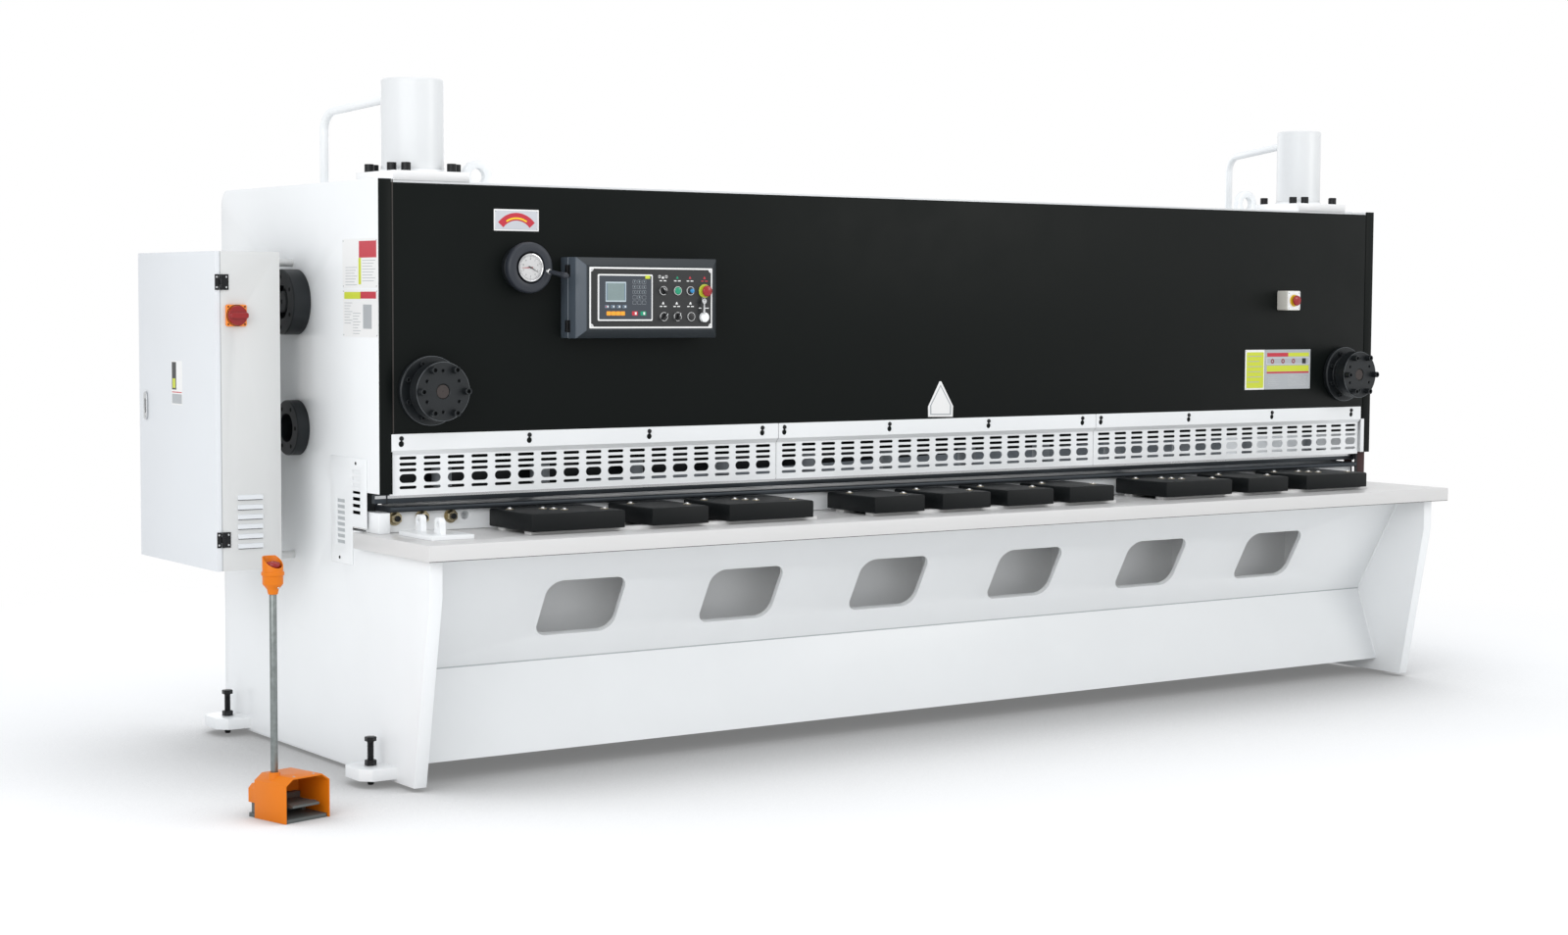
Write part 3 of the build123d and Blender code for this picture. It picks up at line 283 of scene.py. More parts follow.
# %% Metals
black_oxide = skin("black_oxide_steel", "1d1e20", 0.38, 1.5, 0.03, metal=0.6)
phosphated_iron = skin("phosphated_cast_iron", "1b1f22", 0.42, 2.5, 0.12, metal=0.35)
ground_steel = skin("ground_tool_steel", "9a9da1", 0.32, 1.2, 0.03, metal=1.0, stretch=(60, 1, 1))
oiled_steel = skin("oiled_dark_tool_steel", "2b2d2f", 0.35, 1.2, 0.03, metal=0.7, stretch=(60, 1, 1))
rolled_steel = skin("blued_rolled_steel", "3c4146", 0.4, 1.4, 0.06, metal=0.8, stretch=(50, 1, 1))
chrome = skin("chromed_steel", "d9dadb", 0.08, 8.0, 0.002, metal=1.0, spread=0.01)
zinc_screw = skin("zinc_plated_steel", "c2c4c6", 0.25, 1.5, 0.01, metal=1.0)
yellow_zinc = skin("yellow_zinc_plated_steel", "b5a98c", 0.28, 1.0, 0.01, metal=1.0)
galvanised = skin("galvanised_tube", "838988", 0.4, 12.0, 0.03, metal=0.9, spread=0.2, cloud=14)
cast_plug = skin("oiled_plug_iron", "3a3331", 0.6, 2.0, 0.1, metal=0.2, spread=0.15, cloud=12)
cast_aluminium = skin("cast_aluminium_painted", "585d5c", 0.55, 3.0, 0.2, metal=0.1, spread=0.1)

# %% [markdown]
# ### Plastics, glass and foil
# Knobs and buttons are injection moulded and polished. The plates of the machine are printed foil, here with
# plain blocks of colour. The door seal is foam. Inside the base the white is whiter and duller than the
# frame's, painted light for the dim hollow behind the windows. The grey, dark and black paints that follow
# are painted shade in creases, slits, vents, holes and the throat, and the red primer is darkened there as
# painted shade.
# The dark brown is painted shade along edges, and the lighter metal is a painted highlight on guide rims.

# %% Plastics and the rest
def moulded(name, colour, shine):
    """Polished injection-moulded plastic."""
    return skin(name, colour, shine, 9.0, 0.01, spread=0.02)


def printed(name, colour):
    """Ink on foil."""
    return skin(name, colour, 0.38, 2.0, 0.01, spread=0.02)


red_plastic = moulded("red_polished_abs", "961b22", 0.22)
lime_plastic = moulded("yellow_green_abs", "bcc63a", 0.3)
yellow_plastic = moulded("yellow_abs", "d9b324", 0.3)
green_plastic = moulded("green_lens_plastic", "0f8f6a", 0.2)
white_plastic = moulded("white_lens_plastic", "eef0f0", 0.25)
blue_plastic = moulded("blue_lens_plastic", "2c86bd", 0.2)
black_plastic = skin("black_phenolic", "17181a", 0.3, 4.0, 0.03, spread=0.05)
light_plastic = skin("light_grey_abs", "cfcdc4", 0.45, 1.5, 0.03, spread=0.02)
orange_plastic = skin("orange_abs", "f58a26", 0.4, 1.5, 0.02, spread=0.02)
key_foil_and_seam_highlight = skin("grey_key_foil_and_seam_highlight", "9da3a8", 0.4, 1.0, 0.01, spread=0.03)
display_glass = skin("grey_green_display", "7b8d8d", 0.12, 20.0, 0.002, spread=0.05, cloud=30, coat=0.6)
foil_white = skin("white_printed_foil", "e9e9e8", 0.35, 2.0, 0.01, spread=0.02)
foil_black = skin("black_printed_foil", "16181a", 0.38, 2.0, 0.01, spread=0.04)
foil_red = printed("red_print", "bd2438")
foil_lime = printed("yellow_green_print", "c6d032")
foil_yellow = printed("yellow_print", "f2cf1f")
foil_grey = printed("grey_print", "a9adb0")
foil_silver = skin("silver_print", "c4c7cd", 0.35, 2.0, 0.01, spread=0.03)
foil_amber = printed("amber_print", "ea9c26")
foil_blue = printed("grey_blue_print", "6d8092")
foil_maroon = printed("dark_red_print", "8c3a44")
seal_foam = skin("light_grey_seal_foam", "b9bcbd", 0.9, 2.0, 0.05, spread=0.02)
base_inside_painted_light = skin("base_inside_painted_light", "f7f8f8", 0.8, 4.0, 0.05, spread=0.01)
painted_shade_grey = skin("painted_shade_grey", "b4b8ba", 0.8, 4.0, 0.05, spread=0.02)
edge_painted_shade = skin("edge_painted_shade_brown", "35302d", 0.6, 2.0, 0.05, spread=0.5, cloud=260)
rim_painted_highlight = skin("rim_painted_highlight_metal", "6a6e72", 0.3, 2.0, 0.02, metal=0.8)
red_primer_and_painted_shade = skin("red_oxide_primer_darkened_shade", "341818", 0.7, 4.0, 0.05)
painted_shade_dark = skin("painted_shade_dark_paint", "232628", 0.7, 4.0, 0.05)
hole_painted_shade = skin("hole_painted_shade_black", "060707", 0.7, 2.0, 0.02, gloss=0.1)
print(len(bpy.data.materials), "finishes")

# %% [markdown]
# ## Every solid gets its finish
# The record that comes with the model says which finish each solid has. A first table turns those slots into
# the materials above, so that no solid is left bare, whether or not a finer piece replaces it later.

# %% Finish by slot
BY_SLOT = {
    "white_paint": white_powder_coat, "black_paint": black_lacquer, "grey_paint": beam_grey_paint,
    "charcoal_block": charcoal_paint, "black_casting": phosphated_iron,
    "blade_steel": ground_steel, "black_oxide": black_oxide, "box_paint": box_texture_paint,
    "dial_face": white_plastic, "black_plastic": black_plastic, "light_plastic": light_plastic,
    "red_plastic": red_plastic, "orange_plate": orange_plastic, "orange_paint": orange_enamel,
    "grey_casting": cast_aluminium, "plated_tube": galvanised,
}
slot_of = {part["node"]: part["material_slot"] for part in frame["record"]["subparts"]}


def paint_node(name, material):
    """Give a CAD solid one finish."""
    mesh = nodes[name].data
    mesh.materials.clear()
    mesh.materials.append(material)


for name in nodes:
    paint_node(name, BY_SLOT[slot_of[name]])
for name in ("cabinet_shell", "cabinet_door"):
    paint_node(name, cabinet_texture_paint)
print({slot: sum(s == slot for s in slot_of.values()) for slot in BY_SLOT})

# %% [markdown]
# ## Tools for new pieces
# New pieces are drawn in the drawing's millimetres and leave through one door: it merges doubles, turns the
# faces outward, brings the mesh to scene metres, gives it its finish and hangs it on the body that it moves
# with. Faces that meet at less than 35 degrees are shaded as one curve, all others as an edge. Each piece
# prints its number of faces, so the cost of a bolt or a row of louvres is plain to see.


# %% From a bmesh to a finished piece
def settle(name, bm, finishes, body="frame", stands_for=None, slot=None):
    """Make an object of a bmesh in scene metres; a piece that stands for a solid hides it. `slot` is not
    used.
    """
    mesh = bpy.data.meshes.new(name)
    bm.to_mesh(mesh)
    bm.free()
    for material in finishes if isinstance(finishes, (list, tuple)) else [finishes]:
        mesh.materials.append(material)
    mesh.shade_smooth()
    mesh.set_sharp_from_angle(angle=radians(35))
    thing = bpy.data.objects.new(name, mesh)
    bpy.context.scene.collection.objects.link(thing)
    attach(thing, body)
    if stands_for:
        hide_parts(stands_for)
    print(f"{name}: {len(mesh.polygons)} faces, rides on {body}")
    return thing


def piece(name, bm, finishes, **where_used):
    """Finish a bmesh that is in drawing millimetres."""
    bmesh.ops.remove_doubles(bm, verts=bm.verts, dist=0.002)
    bmesh.ops.recalc_face_normals(bm, faces=bm.faces)
    bm.transform(TO_SCENE)
    return settle(name, bm, finishes, **where_used)


# %% [markdown]
# Most parts are built of the same few things: a box, a turned shape, and a sheet cut from plate. A turned
# shape is half an outline spun round an axis. A sheet with holes is easiest as a filled flat curve: Blender
# fills between the outline and the holes, makes it thick and rounds its edges in one go, which no bmesh
# operator does as cleanly. All three are added to a bmesh at a place that a matrix gives.


# %% Copies, box, turned shape and cut sheet
def kept(bm):
    """Keep a bmesh as a mesh that can be copied many times."""
    mesh = bpy.data.meshes.new("tool")
    bm.to_mesh(mesh)
    bm.free()
    return mesh


def tool(bm):
    """Merge the doubles of a bmesh, turn its faces outward and keep it."""
    bmesh.ops.remove_doubles(bm, verts=bm.verts, dist=0.002)
    bmesh.ops.recalc_face_normals(bm, faces=bm.faces)
    return kept(bm)


def stamp(bm, mesh, *matrices):
    """Add a copy of a tool mesh to a bmesh for each matrix, or one as it lies."""
    for matrix in matrices or (Matrix(),):
        copy = mesh.copy()
        copy.transform(matrix)
        bm.from_mesh(copy)
        bpy.data.meshes.remove(copy)


def bevel(bm, edges, width, steps=2):
    """Round some edges of a bmesh, in a few flat steps."""
    bmesh.ops.bevel(bm, geom=edges, offset=width, offset_type="OFFSET", affect="EDGES", segments=steps,
                    profile=0.5, material=-1, clamp_overlap=True)


def block(bm, x0, x1, y0, y1, z0, z1, edge=0.0, kind=0):
    """Box between six limits, its edges rounded by `edge` millimetres."""
    own = bmesh.new()
    size = Matrix.Diagonal((x1 - x0, y1 - y0, z1 - z0, 1))
    middle = Matrix.Translation(((x0 + x1) / 2, (y0 + y1) / 2, (z0 + z1) / 2))
    bmesh.ops.create_cube(own, size=1, matrix=middle @ size)
    if edge:
        bevel(own, own.edges[:], edge)
    for face in own.faces:
        face.material_index = kind
    stamp(bm, tool(own))


def turned(profile, steps=32, kind=0):
    """Turned shape: (radius, height) points spun about Z."""
    bm = bmesh.new()
    verts = [bm.verts.new((r, 0, h)) for r, h in profile]
    edges = [bm.edges.new(pair) for pair in zip(verts, verts[1:])]
    bmesh.ops.spin(bm, geom=verts + edges, cent=(0, 0, 0), axis=(0, 0, 1), angle=2 * pi, steps=steps,
                   use_merge=True)
    for face in bm.faces:
        face.material_index = kind
    return tool(bm)


def cut_sheet(outlines, thick, edge=0.0, kind=0):
    """Sheet in the XY plane from Z = 0 up, cut by an outline and its holes, with rounded edges."""
    curve = bpy.data.curves.new("sheet", "CURVE")
    curve.dimensions, curve.fill_mode = "2D", "BOTH"
    curve.extrude, curve.bevel_depth, curve.bevel_resolution = thick / 2 - edge, edge, 0
    curve.offset = -edge
    for points in outlines:
        spline = curve.splines.new("POLY")
        spline.points.add(len(points) - 1)
        for point, (x, y) in zip(spline.points, points):
            point.co = (x, y, 0, 1)
        spline.use_cyclic_u = True
    holder = bpy.data.objects.new("sheet", curve)
    mesh = bpy.data.meshes.new_from_object(holder)
    bpy.data.objects.remove(holder)
    bm = bmesh.new()
    bm.from_mesh(mesh)
    bmesh.ops.translate(bm, vec=(0, 0, thick / 2), verts=bm.verts)
    for face in bm.faces:
        face.material_index = kind
    return tool(bm)


def bar(x0, x1, y0, y1):
    """Points of a plain rectangle."""
    return [(x0, y0), (x1, y0), (x1, y1), (x0, y1)]


def disc(x, y, r, count=24):
    """Points of a circle."""
    return [(x + r * cos(2 * pi * i / count), y + r * sin(2 * pi * i / count)) for i in range(count)]


def slot_shape(x, y, width, height, count=6):
    """Points of a slot with round ends, wider than high."""
    r, half = height / 2, (width - height) / 2
    right_end = [(x + half + r * sin(pi * i / count), y - r * cos(pi * i / count)) for i in range(count + 1)]
    return right_end + [(2 * x - px, 2 * y - py) for px, py in right_end]


def plate_shape(x0, x1, y0, y1, r, count=5):
    """Points of a rectangle with round corners."""
    points = []
    for cx, cy, turn in ((x1 - r, y1 - r, 0), (x0 + r, y1 - r, 1), (x0 + r, y0 + r, 2), (x1 - r, y0 + r, 3)):
        for i in range(count + 1):
            a = pi / 2 * (turn + i / count)
            points.append((cx + r * cos(a), cy + r * sin(a)))
    return points


# %% [markdown]
# A sheet or a turned shape is made lying down, with its thickness or its axis up. Three matrices stand it
# where it is needed: facing the operator, facing left, and facing right.

# %% Standing a shape up
FRONT = Matrix(((1, 0, 0, 0), (0, 0, -1, 0), (0, 1, 0, 0), (0, 0, 0, 1)))
LEFT = Matrix(((0, 0, -1, 0), (-1, 0, 0, 0), (0, 1, 0, 0), (0, 0, 0, 1)))
RIGHT = Matrix(((0, 0, 1, 0), (1, 0, 0, 0), (0, 1, 0, 0), (0, 0, 0, 1)))


def facing(way, x, y, z, spin=0.0):
    """Matrix that stands a shape up at a place, after turning it about its own axis."""
    return Matrix.Translation((x, y, z)) @ way @ Matrix.Rotation(spin, 4, "Z")


def laid(way, out_by, x=0.0, y=0.0):
    """Matrix that lays a sheet on a face: `out_by` is the face's distance from the origin."""
    return Matrix.Translation(way.to_3x3() @ Vector((0, 0, out_by))) @ way @ Matrix.Translation((x, y, 0))


# %% [markdown]
# Most pieces are then a list: of copies of tools at their places, of boxes, or of thin sheets laid on each
# other. A few short functions turn such a list into a finished piece. The finish of each part is its number
# in the piece's list of finishes.


# %% From a list to a piece
def gathered(name, parts, finishes, **where_used):
    """Piece made of tools, each given with all its places."""
    bm = bmesh.new()
    for mesh, *places in parts:
        stamp(bm, mesh, *places)
    return piece(name, bm, finishes, **where_used)


def boxes(name, limits, finishes, **where_used):
    """Piece made of boxes, each given as for `block`."""
    bm = bmesh.new()
    for box in limits:
        block(bm, *box)
    return piece(name, bm, finishes, **where_used)


def layer(bm, way, out_by, shapes, thick=0.4, edge=0.0, kind=0):
    """Lay a sheet, cut by an outline and its holes, on a face."""
    stamp(bm, cut_sheet(shapes, thick, edge, kind), laid(way, out_by))


def layers(bm, way, sheets):
    """Lay many sheets: distance, thickness, edge and finish, then the outline and its holes."""
    for out_by, thick, edge, kind, *shapes in sheets:
        layer(bm, way, out_by, shapes, thick, edge, kind)


def layered(name, way, sheets, finishes, **where_used):
    """Piece made of sheets, each given as for `layers`."""
    bm = bmesh.new()
    layers(bm, way, sheets)
    return piece(name, bm, finishes, **where_used)


# %% [markdown]
# ## Rounded edges
# Nothing made of plate and painted has a knife edge: a torch or a grinder breaks it and the coat rounds it
# further, and the thin light line along it tells the eye how large the thing is. A CAD solid comes as loose
# triangles, so a copy of it is merged and its flat faces are joined, and then only edges that turn by more
# than 30 degrees are bevelled. The copy stands for the solid.
#
# The table base is the same at both ends but for its windows: each is round at two opposite corners, and in
# the photograph these are the other two. So its copy is mirrored about the middle of the machine. Inside
# the apron it gets a whiter, duller white, painted light for the dim hollow. The lower front edge of the
# table gets a dark brown, painted shadow under the edge.


# %% Rounded copies of the welded and folded parts
MIRROR = Matrix.Translation((2 * SHIFT.x, 0, 0)) @ Matrix.Diagonal((-1, 1, 1, 1))


def softened(name, width, finish, body="frame", mirrored=False):
    """Copy of a CAD solid with its sharp edges rounded by `width` millimetres."""
    bm = bmesh.new()
    bm.from_mesh(nodes[name].data)
    bmesh.ops.remove_doubles(bm, verts=bm.verts, dist=1e-5)
    if mirrored:
        bm.transform(MIRROR)
        bmesh.ops.recalc_face_normals(bm, faces=bm.faces)
    bmesh.ops.dissolve_limit(bm, angle_limit=radians(1), verts=bm.verts, edges=bm.edges)
    sharp = [e for e in bm.edges if len(e.link_faces) == 2 and e.calc_face_angle() > radians(30)]
    bevel(bm, sharp, width / 1000)
    bmesh.ops.triangulate(bm, faces=[f for f in bm.faces if len(f.verts) > 4])
    return settle(name + "_rounded", bm, finish, body, stands_for=name)


def recolour(thing, kind, test):
    """Give the faces whose middle passes the test another finish; the test gets drawing millimetres."""
    for polygon in thing.data.polygons:
        if test(*((polygon.center - SHIFT) * 1000)):
            polygon.material_index = kind


for name, width in (("side_frame_left", 1.5), ("side_frame_right", 1.5), ("top_beam", 2.0),
                    ("vent_cover", 0.6), ("corner_bracket", 1.0)):
    softened(name, width, white_powder_coat)
# The inside faces of the base get the whiter white: painted light for the dim hollow.
base = softened("table_base", 1.5, [white_powder_coat, base_inside_painted_light], mirrored=True)
recolour(base, 1, lambda x, y, z: (663 - z) * 0.549 - 187 < y < 112 and 306 < z < 662)
TABLE_FRONT, TABLE_UNDER = -375.4, 663.7
# The lower front edge of the table gets the dark brown: painted shadow under the edge.
table = softened("table_plate", 2.0, [table_paint, edge_painted_shade])
recolour(table, 1, lambda x, y, z: y < TABLE_FRONT + 1.9 and z < TABLE_UNDER + 1.9)
for name in ("left", "middle", "right"):
    softened(f"support_blocks_{name}", 3.5, charcoal_paint)
softened("knife_beam", 2.0, beam_grey_paint, body="knife")
# Left side and left bevel of the box get a lighter copy of its paint: painted light from the left.
box = softened("control_box", 2.0, [box_texture_paint, box_painted_light_paint])
BOX_BEVEL_X = -1449
recolour(box, 1, lambda x, y, z: x < BOX_BEVEL_X and y < -18)
softened("foot_cover", 1.2, orange_enamel)

# %% [markdown]
# ## Finger guard
# The guard keeps fingers from the blades but lets the operator see the cut. It is three panels of 3 mm
# sheet, punched with rows of slots and one row of taller openings, offset forward at the top and hung on
# the front panel with keyholes over shoulder screws. Each panel is cut flat as one outline with its holes,
# then sliced along the two bend lines, and the part above them is moved forward, which is what a folding
# press does. A small tab closes the gap at the right end.

# %% Guard panels
GUARD_W, GUARD_COLUMNS, GUARD_PITCH, GUARD_OFFSET = 1360.0, 17, 78.66, 13.3
SLOT_ROWS, TALL_ROW = (931.6, 913.8, 896.6, 845.4), 871.8
HOOKS = (22, 447, 871, 1296)
GUARD_STARTS = [(i - 1.5) * GUARD_W + 1 for i in range(3)]


def keyhole(x, y):
    """Keyhole that lets a screw head through below and holds its shank above."""
    body = [(x + 9 * sin(a), y - 9 * cos(a)) for a in [2.75 * pi / 3 * i / 9 for i in range(-9, 10)]]
    return body + [(x - 3.5, y + 18), (x, y + 20), (x + 3.5, y + 18)][::-1]


def guard_panel(x0, longer, shorter):
    """One panel, from its left edge; the outer ends differ a little from the even pitch."""
    x1 = x0 + GUARD_W - 2
    outlines = [plate_shape(x0 - longer, x1 - shorter, 822.5, 1003, 2.5)]
    first = (x0 + x1) / 2 - GUARD_PITCH * (GUARD_COLUMNS - 1) / 2
    for column in range(GUARD_COLUMNS):
        x = first + GUARD_PITCH * column
        outlines += [slot_shape(x, z, 56, 9, 4) for z in SLOT_ROWS]
        outlines.append(slot_shape(x, TALL_ROW, 56, 26, 7))
    outlines += [keyhole(x0 + hook, 974) for hook in HOOKS]
    bm = bmesh.new()
    bm.from_mesh(cut_sheet(outlines, 3, edge=0.5))
    bmesh.ops.transform(bm, matrix=facing(FRONT, 0, 3, 0), verts=bm.verts)
    for z in (941, 955):
        bmesh.ops.bisect_plane(bm, geom=bm.verts[:] + bm.edges[:] + bm.faces[:], dist=0.001,
                               plane_co=(0, 0, z), plane_no=(0, 0, 1))
    bmesh.ops.translate(bm, vec=(0, -GUARD_OFFSET, 0), verts=[v for v in bm.verts if v.co.z > 954.9])
    return bm


for x0, name, longer, shorter in zip(GUARD_STARTS, ("left", "middle", "right"), (9, 0, 0), (0, 0, 9)):
    piece(f"guard_panel_{name}", guard_panel(x0, longer, shorter), white_powder_coat,
          stands_for=f"guard_{name}")
boxes("guard_end_tab", [(2033, 2050, -12.6, -10.2, 829, 956, 0.4)], white_powder_coat)

# %% [markdown]
# ## Screws
# Machine builders use socket head cap screws: a round head with a hexagon socket and a broken rim. It is
# made of a plain cylinder for the lower half and, on top of it, a sheet ring whose hole is the hexagon, so
# the socket is really hollow. All sizes follow from the thread, as in the standard: the head is 1.5 times
# the thread wide and as high as the thread, and the key is 0.8 times the thread across. Where the photograph
# shows taller heads, `tall` stretches them.


# %% Socket and hexagon heads
def hexagon(across):
    """Points of a hexagon, by its width across flats."""
    r = across / 3 ** 0.5
    return [(r * cos(pi / 3 * i), r * sin(pi / 3 * i)) for i in range(6)]


def cap_screw(thread, tall=1.0):
    """Socket head cap screw as a tool, standing on Z = 0."""
    r, h, corners = thread * 0.75, thread * tall, 20
    bm = bmesh.new()
    bmesh.ops.create_cone(bm, cap_ends=True, segments=corners, radius1=r, radius2=r, depth=h * 0.45,
                          matrix=Matrix.Translation((0, 0, h * 0.225)))
    rim = cut_sheet([disc(0, 0, r, corners), hexagon(thread * 0.8)[::-1]], h * 0.6, edge=thread * 0.06)
    stamp(bm, rim, Matrix.Translation((0, 0, h * 0.4)))
    return kept(bm)


def hex_head(across, height, washer=0.0):
    """Hexagon head or nut with its corners turned down, on a round washer."""
    r = across / 3 ** 0.5
    bm = bmesh.new()
    bmesh.ops.create_cone(bm, cap_ends=True, segments=6, radius1=r, radius2=r, depth=height,
                          matrix=Matrix.Translation((0, 0, height / 2 + washer)))
    top = [e for e in bm.edges if all(v.co.z > washer + height * 0.9 for v in e.verts)]
    bevel(bm, top, across * 0.05, steps=1)
    if washer:
        bmesh.ops.create_cone(bm, cap_ends=True, segments=24, radius1=across * 0.72,
                              radius2=across * 0.72, depth=washer,
                              matrix=Matrix.Translation((0, 0, washer / 2)))
    return kept(bm)


def pan_screw(r, h):
    """Small domed screw: at the size that it has in the picture only its dome shows."""
    return turned([(0, 0), (r, 0), (r, h * 0.35), (r * 0.8, h * 0.8), (r * 0.4, h), (0, h)], 14)


M10, TALL_M14 = cap_screw(10), cap_screw(14, tall=1.6)
print("faces of a screw head:", len(M10.polygons))

# %% [markdown]
# ## Table, lower blade bar and its lip
# Behind the support blocks a white bar stands on the table and carries a dark rounded lip, over which the
# sheet slides to the lower blade. Studs with yellow nuts hold the bar, seen at its left end. In the CAD
# model bar and lip are one black solid, so here two pieces take its place: each has its own finish, and the
# lip has the rounded nose that keeps sheets from catching.

# %% Seat bar and lip
SEAT_HALF, SEAT_LOW, SEAT_TOP = 2040.0, 711.2, 771.6
NUT_Z, NUTS = 753, (-2014, -1925, -1831)
bm = bmesh.new()
front_shape = [bar(-SEAT_HALF, SEAT_HALF, SEAT_LOW, SEAT_TOP), disc(-1782, NUT_Z, 13, 20)[::-1]]
layer(bm, FRONT, -80, front_shape, thick=40, edge=1.5)
block(bm, -SEAT_HALF, SEAT_HALF, 76, 113.4, SEAT_LOW, SEAT_TOP)
block(bm, -2078, -2042, 12, 100, 711, SEAT_TOP, edge=2)
piece("lower_blade_bar", bm, white_powder_coat, slot="white_paint")

bm = bmesh.new()
block(bm, -SEAT_HALF, SEAT_HALF, 12, 113.4, 772, 788.9)
nose = [e for e in bm.edges if all(v.co.y < 13 for v in e.verts) and e.calc_length() > SEAT_HALF]
bevel(bm, nose, 6, steps=5)
piece("feed_lip", bm, rolled_steel, stands_for="blade_seat")

places = [facing(FRONT, x, 40, NUT_Z) for x in NUTS]
stud = turned([(0, 0), (9, 0), (9, 24), (7.5, 26), (0, 26)], 20)
gathered("seat_nuts", [(hex_head(30, 16, 2.5), *places)], yellow_zinc)
gathered("seat_studs", [(stud, *places)], black_oxide)

# %% [markdown]
# ## Balls in the support blocks
# Each block has ball transfers let into its top: a steel ball in a cup, so that a heavy sheet rolls. Short
# blocks have two, long blocks one near each end and a slanting cluster in the middle. A ball stands only
# about 6 mm out of its cup, so half an icosphere is enough; the lower half is cut away.

# %% Ball transfers
def ball_transfer():
    """Ball in a pressed cup, standing on Z = 0."""
    bm = bmesh.new()
    bmesh.ops.create_icosphere(bm, subdivisions=3, radius=8, matrix=Matrix.Translation((0, 0, -1.5)))
    bmesh.ops.bisect_plane(bm, geom=bm.verts[:] + bm.edges[:] + bm.faces[:], dist=0.001,
                           plane_co=(0, 0, 0.3), plane_no=(0, 0, 1), clear_inner=True)
    stamp(bm, turned([(7, 0), (7.2, 1.4), (8.5, 2.0), (11, 1.6), (12.5, 0.2), (12.5, 0)], 24, kind=1))
    return kept(bm)


BLOCK_TOP, BLOCK_FRONT, BLOCK_DEPTH = 773.8, -262.0, 262.0
LONG, SHORT = 315.0, 200.0
BLOCKS = [(-1722, LONG), (-1310, SHORT), (-1033, LONG), (-476, SHORT), (-201, SHORT), (72, SHORT),
          (344, SHORT), (789, LONG), (1185, SHORT), (1480, LONG)]
bm = bmesh.new()
ball = ball_transfer()
for x0, length in BLOCKS:
    places = [(0.18, 0.72), (0.86, 0.3)] if length == SHORT else [
        (0.1, 0.74), (0.4, 0.62), (0.46, 0.5), (0.52, 0.38), (0.9, 0.26)]
    stamp(bm, ball, *[Matrix.Translation((x0 + length * u, BLOCK_FRONT + BLOCK_DEPTH * v, BLOCK_TOP - 0.4))
                      for u, v in places])
piece("ball_transfers", bm, [chrome, yellow_zinc])

# %% [markdown]
# ## Hooks of the guard
# The guard hangs on shoulder screws, so that it lifts off without tools. Each black pan head sits in the
# narrow top of its keyhole.

# %% Hook screws
places = [facing(FRONT, x0 + hook, -GUARD_OFFSET, 990) for x0 in GUARD_STARTS for hook in HOOKS]
gathered("guard_hook_screws", [(pan_screw(7, 5), *places)], black_oxide)

# %% [markdown]
# ## Roller guides
# The knife beam runs between rollers that press on it from the front and from the side plates. Each roller
# sits in a cast housing, turned round its axis, so it is spun from half its outline, with a small slope at
# each rim where the tool broke the edge. A cover disc with real holes is a cut sheet laid on top: it has six
# tall socket screws on a circle, six smaller holes between them for the adjusters and a plug in the middle.
# Eight smaller screws hold the flange. Thin rings of lighter metal on the rims are painted highlights.

# %% Front guides
PANEL_FACE = -10.3


def round_places(place, radius, count, lift, start=0.0):
    """Places on a circle round the axis of another place."""
    angles = [start + 2 * pi * i / count for i in range(count)]
    return [place @ Matrix.Translation((radius * cos(a), radius * sin(a), lift)) for a in angles]


def front_guide(end, x):
    """Guide housing on the front panel; its axis points to the operator."""
    place = facing(FRONT, x, PANEL_FACE, 1128)
    body = turned([(0, 0), (100.5, 0), (102, 1.5), (102, 14), (98, 18), (70, 18), (68, 20), (68, 47),
                   (69, 48), (85, 48), (87, 50), (87, 80), (0, 80)], 64)
    angles = [pi / 6 + pi / 3 * i for i in range(6)]
    holes = [disc(0, 0, 21.5, 32)[::-1]] + [disc(60 * cos(a), 60 * sin(a), 4.2, 14)[::-1] for a in angles]
    cover = cut_sheet([disc(0, 0, 87, 64)] + holes, 10.4, edge=2.0)
    plug = turned([(0, 0), (20.5, 0), (20.5, 6), (19.5, 7), (2.5, 7), (0, 5)], 32, kind=1)
    parts = [(body, place), (cover, place @ Matrix.Translation((0, 0, 79.6))),
             (plug, place @ Matrix.Translation((0, 0, 80))), (TALL_M14, *round_places(place, 72, 6, 89.8))]
    for r, at in ((100.8, 14.6), (85.6, 48.4), (85.2, 89.0)):
        highlight_ring = turned([(r, at), (r + 1.1, at), (r + 1.1, at + 0.9), (r, at + 0.9)], 64, kind=2)
        parts.append((highlight_ring, place))
    parts.append((M10, *round_places(place, 85, 8, 17, pi / 8)))
    gathered(f"roller_guide_front_{end}", parts, [phosphated_iron, cast_plug, rim_painted_highlight],
             stands_for=f"front_guide_{end}")


front_guide("left", -1925)
front_guide("right", 1925)

# %% [markdown]
# The side guides are the same castings, set in bores of the plates. The upper one has a deep dish with a
# round cap in it, the lower one is an open bore. Their screws are sunk in the rim; each hole is a thin black
# disc, painted shade in place of its hollow.

